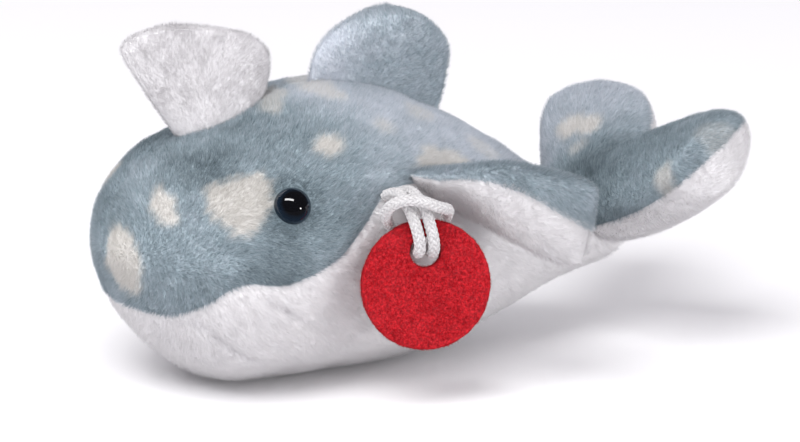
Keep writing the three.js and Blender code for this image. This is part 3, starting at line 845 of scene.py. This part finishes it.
def side_cloth(side):
    """side is 1 for the left and -1 for the right."""
    x = body_rows(150)[:, None]
    start = seam_round(x)
    around = start + (1 - start) * np.linspace(0, 1, 96)[None, :]
    x = x + 0 * around
    back_crease = crease(round_distance(x, 1 - around), back_seam_depth, back_seam_width)
    folds = side_seam_crease(x, around - seam_round(x)) + back_crease * ease(x, 14, 30)
    points, normals = sunk(x, around, folds)
    names = [name for name in side_spots if side > 0 or name != "nose"]
    pale = side_spot_share(body_point(x, around), names) * (1 - faintness(x, around))
    along = unit(np.gradient(points, axis=0))
    up = unit(np.gradient(points, axis=1))
    rise = side_pile_rise(x, around)
    flow = along * np.cos(rise)[..., None] + up * np.sin(rise)[..., None]
    points[..., 1] = np.minimum(points[..., 1], -0.02)
    cloth = closed_behind(Cloth(points, normals, flow, pale, side_tone_and_painted_light(points)))
    return cloth if side > 0 else across_middle(cloth)


def across_middle(cloth):
    """The cloth's mirror image, its rows the other way round to keep its outside out."""
    flip = slice(None, None, -1)
    return Cloth(
        mirrored(cloth.points)[:, flip], mirrored(cloth.normals)[:, flip],
        mirrored(cloth.flow)[:, flip], cloth.pale[:, flip], cloth.tone_and_painted_light[:, flip],
    )


def belly_cloth():
    x = body_rows(140)
    x = x[x > chin_start][:, None]
    around = seam_round(x) * np.linspace(-1, 1, 150)[None, :]
    x = x + 0 * around
    shaping = darts(x, around)
    folds = side_seam_crease(x, seam_round(x) - np.abs(around)) + dart_depth * shaping
    points, normals = sunk(x, around, folds)
    points[..., 2] = np.maximum(points[..., 2], 0.4)
    flow = along_surface(np.array([0.85, 0, -0.5]) + 0 * normals, normals)
    # The pile is painted darker along the darts: painted shade in their creases
    return closed_behind(Cloth(points, normals, flow, 0 * x, 0.5 - 0.25 * shaping))


# Sewn-on pads

def pad_swell(thickness, thin_share=seam_thin_share, closing=0.5):
    """Half the thickness of a pad from its seam, with a share of it there, to its tip.

    closing is a half for a blunt tip and more for a finer one.
    """
    def read(step):
        filled = np.sin(np.minimum(step / full_share, 1) * math.pi / 2)
        tip = np.maximum(0, (step - full_share) / (1 - full_share))
        return thickness / 2 * (thin_share + (1 - thin_share) * filled) * (1 - tip**2) ** closing

    return read


def pad_grid(lead, trail, swell, place, side, rows=56, columns=44):
    """One cover of a pad between two edges. side is 1 or -1."""
    step = np.linspace(0, 1, rows)[:, None] + np.zeros(columns)
    across = -np.cos(np.linspace(0, math.pi, columns))[None, :] + np.zeros((rows, 1))
    low_edge, high_edge = lead(step), trail(step)
    flat = low_edge + (high_edge - low_edge) * ((across + 1) / 2)[..., None]
    crown = swell(step) * np.sqrt(np.maximum(0, 1 - across**2))
    return place(flat[..., 0], flat[..., 1], side * crown)


def tip_edge(shares, across, along):
    """An edge read at steps that come closer together towards the tip."""
    curve = edge(shares, across, along)
    return lambda step: curve(np.sin(step * math.pi / 2))


def pad_cloth(points, outward, tip_way, pale=0.0, tone_and_painted_light=0.5):
    """The pile of a pad lies towards its tip and out to its edges."""
    inner, normals = settled(points, outward)
    across = unit(np.gradient(points, axis=1))
    aside = -np.cos(np.linspace(0, math.pi, points.shape[1]))[:, None]
    flow = along_surface(tip_way + 0.6 * aside * across, normals)
    plain = np.ones(points.shape[:2])
    return Cloth(inner, normals, flow, pale * plain, tone_and_painted_light * plain)


foot_depth = 1.2  # how far the pads on the back reach down into the body's pile
fin_front_painted_light = 0.45  # painted light: how much lighter the fin's pile looks in front


def back_pad_cloth(along, across, height, lead_shares, trail_shares, swell, side, tone_and_painted_light=0.5,
                   front_painted_light=0.0):
    """A cover of a pad that stands in the seam on the back. side is 1 for the left one."""
    foot = float(section(np.array(float(along)))[3])
    points = pad_grid(
        tip_edge(lead_shares, across, height),
        tip_edge(trail_shares, across, height),
        swell,
        lambda u, v, out: np.stack([along + u, -out, foot + v], -1),
        side,
    )
    step = np.linspace(0, 1, len(points))[:, None]
    points[..., 2] -= foot_depth * (1 - ease(step, 0, 0.2))
    # Painted light on the front of the pad, for the fin
    tone_and_painted_light = tone_and_painted_light + front_painted_light * (1 - ease(points[..., 0] - along, 0, across / 2))
    return pad_cloth(points, np.array([0, -side, 0]), np.array([0.15, 0, 1]), tone_and_painted_light=tone_and_painted_light)


def flipper_frame():
    """The left flipper's foot and its ways out, ahead and up."""
    out = np.array([math.sin(flipper_sweep), -math.cos(flipper_sweep), -math.tan(flipper_droop)])
    out = unit(out)
    ahead = np.array([-math.cos(flipper_sweep), -math.sin(flipper_sweep), 0])
    turn = -flipper_twist
    ahead = (
        ahead * math.cos(turn) + np.cross(out, ahead) * math.sin(turn)
        + out * (out @ ahead) * (1 - math.cos(turn))
    )
    up = np.cross(ahead, out)
    front_height = body_height * flipper_root_share
    x = np.array([flipper_along, flipper_along + flipper_chord], float)
    height = np.array([front_height, front_height - flipper_root_fall])
    ends = cover_point(x, round_at(x, height), seam_gap)
    return ends.mean(0), out, ahead, up


flipper_foot, flipper_out, flipper_ahead, flipper_up = flipper_frame()
flipper_curl = math.radians(16)  # how far the tip's front edge is turned down
flipper_bow = 1  # how far the tip hangs below the root's plane
flipper_closing = 0.75
flipper_seam_lift = 2  # how far the front seam rides up


def flipper_cloth(side):
    """The left flipper's top, side 1, or underside, -1."""
    def place(out, ahead, up):
        reach = np.clip(out / flipper_length, 0, 1)
        near_seam = np.maximum(0, 1 - (up / (flipper_thickness / 2)) ** 2)
        up = up + flipper_seam_lift * near_seam * ease(ahead, -4, 7) * 4 * reach * (1 - reach)
        curl = flipper_curl * reach**2
        ahead, up = (
            ahead * np.cos(curl) + up * np.sin(curl),
            up * np.cos(curl) - ahead * np.sin(curl) - flipper_bow * reach**2,
        )
        return (
            flipper_foot + out[..., None] * flipper_out + ahead[..., None] * flipper_ahead
            + up[..., None] * flipper_up
        )

    points = pad_grid(
        tip_edge(flipper_lead_shares, flipper_length, flipper_chord),
        tip_edge(flipper_trail_shares, flipper_length, flipper_chord),
        pad_swell(flipper_thickness, closing=flipper_closing), place, side,
    )
    # The top's level is painted light and the underside's is painted shade
    return pad_cloth(points, side * flipper_up, flipper_out, tone_and_painted_light=0.6 if side > 0 else 0.45)


tail_back = np.array([math.cos(tail_pitch), 0, math.sin(tail_pitch)])
tail_up = np.array([-math.sin(tail_pitch), 0, math.cos(tail_pitch)])
far_lobe_painted_light = 0.42  # painted light: how much lighter the right lobe's pile looks
root_painted_shade = 0.65  # painted shade: how much darker it looks where the flukes leave the tail stock
root_painted_shade_behind = 4
root_painted_shade_reach = 12


def fluke_cloth(side):
    """The flukes' top, side 1, or underside, -1."""
    def whole_edge(shares, middle):
        right = [(-u, v) for u, v in reversed(shares)]
        return edge([*shares, (0, middle), *right], fluke_span / 2, fluke_length)

    def spread(curve):
        return lambda step: curve((1 - np.cos(step * math.pi)) / 2)

    def place(across, back, up):
        left, right = ease(-across, 0, 20), ease(across, 0, 20)
        grown = 1 + fluke_left_growth * left + fluke_right_growth * right
        across, back = across * grown, back * (1 + fluke_left_growth * left)
        by_root = np.exp(-(((across - fluke_root_across) / fluke_root_reach) ** 2))
        up = up * (1 + (fluke_left_sag * left + fluke_root_sag * by_root) * (up < 0))
        rise = fluke_rise * (across / (fluke_span / 2)) ** 2 - across * math.tan(fluke_roll)
        points = knuckle + back[..., None] * tail_back + (up + rise)[..., None] * tail_up
        points[..., 1] = across
        return points

    points = pad_grid(
        spread(whole_edge(fluke_lead_shares, 0)),
        spread(whole_edge(fluke_trail_shares, fluke_notch_share)),
        lambda step: fluke_thickness / 2 * np.sqrt(np.sin(step * math.pi)),
        place, side, rows=120, columns=56,
    )
    away = tail_back + 0.02 * points * [0, 1, 0]
    # The underside is painted a little darker: painted shade
    if side < 0:
        return pad_cloth(points, -tail_up, away, tone_and_painted_light=0.42)
    # Painted shade where the flukes leave the tail stock, and painted light on the right lobe
    from_root = np.linalg.norm(points - knuckle - root_painted_shade_behind * tail_back, axis=-1)
    by_root = np.exp(-((from_root / root_painted_shade_reach) ** 2))
    tone_and_painted_light = 0.5 + far_lobe_painted_light * ease(points[..., 1], -6, 14) - root_painted_shade * by_root
    return pad_cloth(points, tail_up, away, fluke_spot_share(points), tone_and_painted_light)


# Cream spots on the flukes' top: where each one's middle is across them and behind the
# knuckle, how strong it is, and its outline about that
fluke_spots = {
    "far": (11.4, 14.3, 1, [(4.8, -2.4), (5, -0.6), (1, 1.8), (-3.5, 2.6), (-5, 1), (-1, -1.4)]),
    "far_small": (6.2, 10.8, 0.6, [(2, -1), (1, 0.6), (-1.9, 0.9), (-1.5, -0.5)]),
    "near": (-25.6, 11, 0.8, [(1.8, -1), (1, 1.2), (-1.7, 2), (-2, 0.5), (0.5, -1.6)]),
    "near_tip": (-28.8, 22.4, 0.35, [(1.5, 1), (0.5, 3.5), (-1.5, 1), (-1.5, -3.5), (1.5, -3)]),
}


def fluke_spot_share(points):
    right = points[..., 1]
    back = (points - knuckle) @ tail_back
    wobble = rim_wobble(points, 8)
    share = np.zeros_like(right)
    for across, behind, strength, outline in fluke_spots.values():
        spot = inside(right - across, back - behind, outline, wobble)
        share = np.maximum(share, strength * spot)
    return share


# Placing the cloth pieces

fabrics = {
    "blue_grey_pile": (blue_backing, blue_pile, {}),
    "white_pile": (white_backing, white_pile, {"density": 38, "length": 1}),
}


def cover(name, node, cloth, body, fabric, seed, blend=None, **how):
    """The backing and the pile of one cover, which stand for a CAD node."""
    under, over, usual = fabrics[fabric]
    skin = grid_mesh(name + "_backing", cloth.points, under, {"pale": cloth.pale, "tone_and_painted_light": cloth.tone_and_painted_light})
    fur = pile(name + "_pile", cloth, over, seed, **{**usual, **how})
    for piece in (skin, fur):
        if blend is None:
            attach(piece, body)
        else:
            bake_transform(piece)
    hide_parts(node)


def eye_frame():
    x = np.array(float(eye_along))
    around = round_at(x, eye_height)
    return cover_point(x, around, -eye_sink), body_normal(x, around)


eye_seat, eye_axis = eye_frame()
clear_edge = -0.1  # from an eye's edge: where the pile starts
clear_width = 1.6  # and over how far it grows to its full length
clear_depth = 6


def clear_of_eyes(roots):
    """No pile under the eyes, and shorter pile beside them."""
    from_left = mirrored(roots) if roots[:, 1].mean() > 0 else roots
    rel = from_left - eye_seat
    off = np.linalg.norm(rel - (rel @ eye_axis)[:, None] * eye_axis, axis=-1)
    near = np.abs(rel @ eye_axis) < clear_depth
    return np.where(near, np.clip((off - eye_diameter / 2 - clear_edge) / clear_width, 0, 1), 1)


# Two reaches from each kind of pad's foot, along its way out, for the ends of a bend. No bend is made from
# them here: cover only looks whether they are given
back_pad_bend = (-1.5, 4)
flipper_bend = (-1.5, 6)
fluke_bend = (-2, 9)


def bend_ends(foot, way, bend):
    return np.array([foot + reach * way for reach in bend])


def back_blend(along, base):
    """Two points over the middle of a pad's foot on the back, at the reaches of back_pad_bend."""
    middle = along + base / 2
    top = float(section(np.array(middle))[3])
    return in_frame(bend_ends(np.array([middle, 0, top]), np.array([0, 0, 1]), back_pad_bend))


def make_covers():
    blue_word, white_word = "blue_grey_pile", "white_pile"
    cover("side_left", "side_panel_left", side_cloth(1), "body", blue_word, 21, clear=clear_of_eyes)
    cover("side_right", "side_panel_right", side_cloth(-1), "body", blue_word, 22, clear=clear_of_eyes)
    # The belly is large, and with a thinner pile it stays under 200,000 faces
    cover("belly", "belly_panel", belly_cloth(), "body", white_word, 23, density=34)
    for side, word in ((1, "left"), (-1, "right")):
        # The spout's and the fin's last numbers are their levels of painted light and shade: the spout
        # darker, the fin lighter
        spout = back_pad_cloth(spout_along, spout_reach, spout_height, spout_lead_shares,
                               spout_trail_shares, pad_swell(spout_thickness, spout_foot_share), side, 0.3)
        cover(f"spout_{word}", f"spout_{word}_cover", spout, "spout", white_word, 30 + side,
              back_blend(spout_along, spout_base), length=0.9, lean=62, density=52, even=0.9)
        fin = back_pad_cloth(fin_along, fin_length, fin_height, fin_lead_shares,
                             fin_trail_shares, pad_swell(fin_thickness), side, 0.66, fin_front_painted_light)
        cover(f"fin_{word}", f"dorsal_fin_{word}_cover", fin, "dorsal_fin", blue_word, 40 + side,
              back_blend(fin_along, fin_length), even=0.4)
        ends = bend_ends(flipper_foot, flipper_out, flipper_bend)
        for level, fabric, place in ((1, blue_word, "top"), (-1, white_word, "underside")):
            cloth = flipper_cloth(level)
            cover(
                f"flipper_{word}_{place}_cloth", f"flipper_{word}_{place}",
                cloth if side > 0 else across_middle(cloth), f"flipper_{word}", fabric,
                50 + 4 * side + level, in_frame(ends if side > 0 else mirrored(ends)),
                length=1.35, lean=48,
            )
    ends = in_frame(bend_ends(knuckle, tail_back, fluke_bend))
    cover("flukes_top", "tail_flukes_top", fluke_cloth(1), "tail_flukes", blue_word, 61, ends)
    cover("flukes_under", "tail_flukes_underside", fluke_cloth(-1), "tail_flukes", white_word, 62, ends)


# Eyes

def turned_about(profile, seat, axis, sides=64):
    """Points of a profile of (radius, height) turned about an axis through seat."""
    right = unit(np.cross(axis, [0, 0, 1]))
    ahead = np.cross(right, axis)
    angle = np.linspace(0, 2 * math.pi, sides, endpoint=False)
    ring = np.cos(angle)[:, None] * right + np.sin(angle)[:, None] * ahead
    profile = np.array(profile, float)
    return seat + profile[:, 0, None, None] * ring + profile[:, 1, None, None] * axis


def make_eyes():
    radius = eye_diameter / 2
    profile = [(0.01, -eye_rim), (radius - eye_rim, -eye_rim)]
    for angle in np.linspace(-math.pi / 2, 0, 8):
        profile.append((radius - eye_rim + eye_rim * math.cos(angle), eye_rim * math.sin(angle)))
    for angle in np.linspace(0.06, math.pi / 2 - 0.01, 26):
        profile.append((radius * math.cos(angle), eye_dome * math.sin(angle)))
    material = eye_material()
    for side, word in ((1, "left"), (-1, "right")):
        points = turned_about(profile, eye_seat, eye_axis) * [1, side, 1]
        from_middle = np.array(profile)[:, :1] / radius + np.zeros(points.shape[:2])
        eye = grid_mesh(f"eye_{word}_dome", points, material, {"rim": from_middle}, True, side)
        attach(eye, "body")
        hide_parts(f"eye_{word}")


# Hang tag and its cord

def from_tag(points):
    """From the disc's frame, right, up and out, to the toy's."""
    points = np.asarray(points, float)
    right, rise, back = points[..., 0], points[..., 1], -points[..., 2]
    y = back * math.cos(tag_lean) + rise * math.sin(tag_lean)
    z = rise * math.cos(tag_lean) - back * math.sin(tag_lean)
    x = right * math.cos(tag_turn) - y * math.sin(tag_turn)
    y = right * math.sin(tag_turn) + y * math.cos(tag_turn)
    return np.stack([x + tag_along, y - tag_out, z + tag_height], -1)


def smooth_route(knots, steps=10):
    """A smooth curve through points, as evenly bent as their spacing allows."""
    knots = np.array(knots, float)
    knots = np.vstack([2 * knots[0] - knots[1], knots, 2 * knots[-1] - knots[-2]])
    found = []
    for i in range(1, len(knots) - 2):
        p = knots[i - 1:i + 3]
        t = np.concatenate([[0], np.cumsum(np.sqrt(np.linalg.norm(np.diff(p, axis=0), axis=1)))])
        at = np.linspace(t[1], t[2], steps, endpoint=False)[:, None]
        a = [((t[k + 1] - at) * p[k] + (at - t[k]) * p[k + 1]) / (t[k + 1] - t[k]) for k in range(3)]
        b = [((t[k + 2] - at) * a[k] + (at - t[k]) * a[k + 1]) / (t[k + 2] - t[k]) for k in range(2)]
        found.append(((t[2] - at) * b[0] + (at - t[1]) * b[1]) / (t[2] - t[1]))
    return np.vstack([*found, knots[-2]])


def evenly(line, spacing):
    """The line's points again, evenly spaced."""
    run = np.concatenate([[0], np.cumsum(np.linalg.norm(np.diff(line, axis=0), axis=1))])
    at = np.linspace(0, run[-1], int(run[-1] / spacing) + 1)
    return np.stack([np.interp(at, run, line[:, k]) for k in range(3)], -1), at


def carried_sides(line):
    """Two directions square to a line at each point, carried along it without twisting."""
    way = unit(np.gradient(line, axis=0))
    side = unit(np.cross(way[0], [0.3, 0.2, 1]))
    sides = []
    for one in way:
        side = unit(side - (side @ one) * one)
        sides.append(side)
    sides = np.array(sides)
    return sides, np.cross(way, sides)


yarns = 8  # each way round; the two-over, two-under order needs a multiple of four
yarn_width = 0.56
yarn_depth = 0.38
yarn_lay = 7  # along the cord for each turn
weave_depth = 0.11


def make_cord():
    """A round braid of yarns that go both ways round, over two and under two of the others."""
    line, run = evenly(smooth_route(cord_route), 0.16)
    first, second = carried_sides(line)
    sides = 7
    angle = np.linspace(0, 2 * math.pi, sides, endpoint=False)
    points, faces = [], []
    for hand in (1, -1):
        for k in range(yarns):
            turn = hand * 2 * math.pi * run / yarn_lay + 2 * math.pi * k / yarns
            weave = hand * np.cos(hand * math.pi * yarns * run / yarn_lay + math.pi * (k + 0.25))
            radius = cord_diameter / 2 - yarn_depth / 2 + weave_depth * (weave - 1)
            out = np.cos(turn)[:, None] * first + np.sin(turn)[:, None] * second
            middle = line + radius[:, None] * out
            way = unit(np.gradient(middle, axis=0))
            flat = unit(np.cross(way, out))
            ring = (
                middle[:, None] + yarn_width / 2 * np.cos(angle)[None, :, None] * flat[:, None]
                + yarn_depth / 2 * np.sin(angle)[None, :, None] * out[:, None]
            )
            faces.append(grid_faces(len(line), sides, closed=True) + sum(len(p) for p in points))
            points.append(ring.reshape(-1, 3))
    cord = make_mesh("tag_cord_braid", from_tag(np.vstack(points)), [np.vstack(faces)], braid_material)
    return cord, line


def rounded_edge(size, count=6):
    """(inward, down) steps round an edge, from the flat face to the side."""
    angle = np.linspace(0, math.pi / 2, count)
    return size * (1 - np.sin(angle)), size * (1 - np.cos(angle))


felt_rows = 40  # across each face of the disc
felt_sides = 220


def felt_disc():
    """Points of a disc cut from felt, in loops round the hole: out over its front, and back."""
    angle = np.linspace(0, 2 * math.pi, felt_sides, endpoint=False)
    ring = np.stack([np.cos(angle), np.sin(angle)], -1)
    inner = np.array([0, hole_rise]) + ring * hole_diameter / 2
    outer = ring * tag_diameter / 2
    width = np.linalg.norm(outer - inner, axis=-1)
    inward, down = rounded_edge(tag_edge)
    flat_width = width - 2 * tag_edge
    across = [tag_edge + flat_width * t for t in np.linspace(0, 1, felt_rows)]
    across += [width - pull for pull in [*inward[1:], *inward[::-1]]]
    across += [tag_edge + flat_width * t for t in np.linspace(1, 0, felt_rows)[1:]]
    across += [0 * width + pull for pull in [*inward[1:], *inward[::-1][:-1]]]
    drop = [0] * felt_rows + [*down[1:], *(tag_thickness - down[::-1])]
    drop += [tag_thickness] * (felt_rows - 1) + [*(tag_thickness - down[1:]), *down[::-1][:-1]]
    share = np.array(across) / width
    flat = inner + (outer - inner) * share[..., None]
    depth = -np.array(drop)[:, None] + 0 * share
    points = np.concatenate([flat, depth[..., None]], -1)
    return np.concatenate([points, points[:1]])


def come_round(grid):
    """The grid with its first column again at the end, so that it closes on itself."""
    return np.concatenate([grid, grid[:, :1]], 1)


def make_tag():
    loops = felt_disc()
    normals = grid_normals(come_round(loops))[:, :-1]
    if normals[felt_rows // 2, 0, 2] < 0:
        normals = -normals
    loops = loops + normals * 0.05 * ripple(loops, 2.2, 71)[..., None]
    closed = come_round(loops)
    closed_normals = come_round(normals)
    lying = along_surface(np.array([0.3, 1, 0.2]) + 0 * closed_normals, closed_normals)
    disc = grid_mesh("hang_tag_felt", from_tag(loops), felt_material, closed=True)
    way = from_tag(closed + closed_normals) - from_tag(closed)
    plain = np.ones(closed.shape[:2])
    lie = from_tag(closed + lying) - from_tag(closed)
    felt = Cloth(from_tag(closed), way, lie, 0 * plain, 0.5 * plain)
    fuzz = pile("hang_tag_fuzz", felt, felt_pile, 72, length=0.7, lean=80, density=34, width=0.05,
                swirl=math.pi)
    for piece in (disc, fuzz):
        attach(piece, "tag")
    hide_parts("hang_tag")
    return disc


def make_tag_on_cord():
    disc = make_tag()
    cord, line = make_cord()
    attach(cord, "tag")
    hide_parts("tag_cord")


# What stays of the solids inside

def dress_inner_parts():
    for node in ("body_stuffing", "eye_washer_left", "eye_washer_right"):
        piece = bpy.data.objects[node]
        material = fill_material if node == "body_stuffing" else washer_material
        piece.data.materials.clear()
        piece.data.materials.append(material)


# Floor, light and camera

def tone_by_ray(nodes, plain, tones):
    """A plain tone, and another one for each kind of ray in (Light Path output, tone) pairs."""
    seen = nodes.new("ShaderNodeLightPath")
    color = None
    for output, tone in tones:
        mix = nodes.new("ShaderNodeMix")
        mix.data_type = "RGBA"
        mix.inputs["A"].default_value = (*plain, 1)
        mix.inputs["B"].default_value = (*tone, 1)
        mix.id_data.links.new(seen.outputs[output], mix.inputs["Factor"])
        if color is not None:
            mix.id_data.links.new(color, mix.inputs["A"])
        color = mix.outputs["Result"]
    return color


def backdrop_material():
    """Near white, and dark in gloss, so that the eyes reflect little and look black."""
    material, nodes, links, shader = new_material("backdrop")
    tones = [("Is Glossy Ray", (0.06, 0.06, 0.065)), ("Is Camera Ray", (0.98, 0.975, 0.985))]
    links.new(tone_by_ray(nodes, (0.88, 0.875, 0.89), tones), shader.inputs["Base Color"])
    shader.inputs["Roughness"].default_value = 0.9
    shader.inputs["Specular IOR Level"].default_value = 0.1
    return material


floor_reach = 1.6
floor_drop = 0.0002  # below the belly, so that the two never meet


def make_stage():
    corners = [(x * floor_reach, y * floor_reach, 0) for x, y in ((-1, -1), (1, -1), (1, 1), (-1, 1))]
    mesh = bpy.data.meshes.new("floor")
    mesh.from_pydata(corners, [], [(0, 1, 2, 3)])
    floor = bpy.data.objects.new("floor", mesh)
    bpy.context.scene.collection.objects.link(floor)
    floor.location.z = -floor_drop
    mesh.materials.append(backdrop_material())


def area_light(name, place, aim, size, power):
    """size is across and deep."""
    light = bpy.data.lights.new(name, "AREA")
    light.shape = "RECTANGLE"
    light.size, light.size_y = size
    light.energy = power
    lamp = bpy.data.objects.new(name, light)
    lamp.location = place
    lamp.rotation_euler = (Vector(aim) - Vector(place)).to_track_quat("-Z", "Y").to_euler()
    bpy.context.scene.collection.objects.link(lamp)
    return lamp


def make_lights():
    """A wide light overhead with a fill on each side, which don't show in gloss.

    The strip and the spark are hidden from matt surfaces and make the eyes' highlights. The
    room is white to the camera, grey to matt surfaces and dark in gloss.
    """
    world = bpy.data.worlds.new("white_room")
    bpy.context.scene.world = world
    world.use_nodes = True
    nodes, links = world.node_tree.nodes, world.node_tree.links
    tones = [("Is Glossy Ray", (0.05, 0.05, 0.055)), ("Is Camera Ray", (1, 1, 1))]
    links.new(tone_by_ray(nodes, (0.61, 0.596, 0.625), tones), nodes["Background"].inputs["Color"])
    for name, place, size, power in (
        ("key", (-0.42, -0.36, 0.82), (0.6, 0.6), 7.3),
        ("right_fill", (0.55, -0.72, 0.12), (0.4, 0.3), 3.2),
        ("left_fill", (-0.85, -0.4, 0.12), (0.4, 0.3), 1.6),
    ):
        lamp = area_light(name, place, (0, 0, 0.02), size, power)
        lamp.visible_glossy = False
    for name, place, size, power in (
        ("strip", (-0.3, -0.42, 0.88), (0.75, 0.16), 5),
        ("spark", (0.42, -0.85, 0.2), (0.09, 0.09), 0.9),
    ):
        lamp = area_light(name, place, (0, 0, 0.03), size, power)
        lamp.visible_diffuse = False


camera_azimuth = math.radians(-25)
camera_elevation = math.radians(15)
camera_distance = 0.8
camera_lens = 219.6
picture_height = 442
picture_width = 800
camera_aim = (53.02, 0, 25)
middle_row = 204  # of the picture, where the camera's aim falls


def make_camera():
    camera = bpy.data.cameras.new("camera")
    camera.lens = camera_lens
    camera.sensor_width = 36
    camera.shift_y = -(picture_height / 2 - middle_row) / picture_width
    eye = bpy.data.objects.new("camera", camera)
    back = Vector((
        math.sin(camera_azimuth) * math.cos(camera_elevation),
        -math.cos(camera_azimuth) * math.cos(camera_elevation),
        math.sin(camera_elevation),
    ))
    eye.location = Vector(in_frame(camera_aim)) + back * camera_distance
    eye.rotation_euler = back.to_track_quat("Z", "Y").to_euler()
    bpy.context.scene.collection.objects.link(eye)
    bpy.context.scene.camera = eye


def main():
    make_camera()
    make_tag_on_cord()
    make_eyes()
    make_covers()
    dress_inner_parts()
    make_stage()
    make_lights()
    bpy.context.scene.view_settings.view_transform = "Standard"


main()
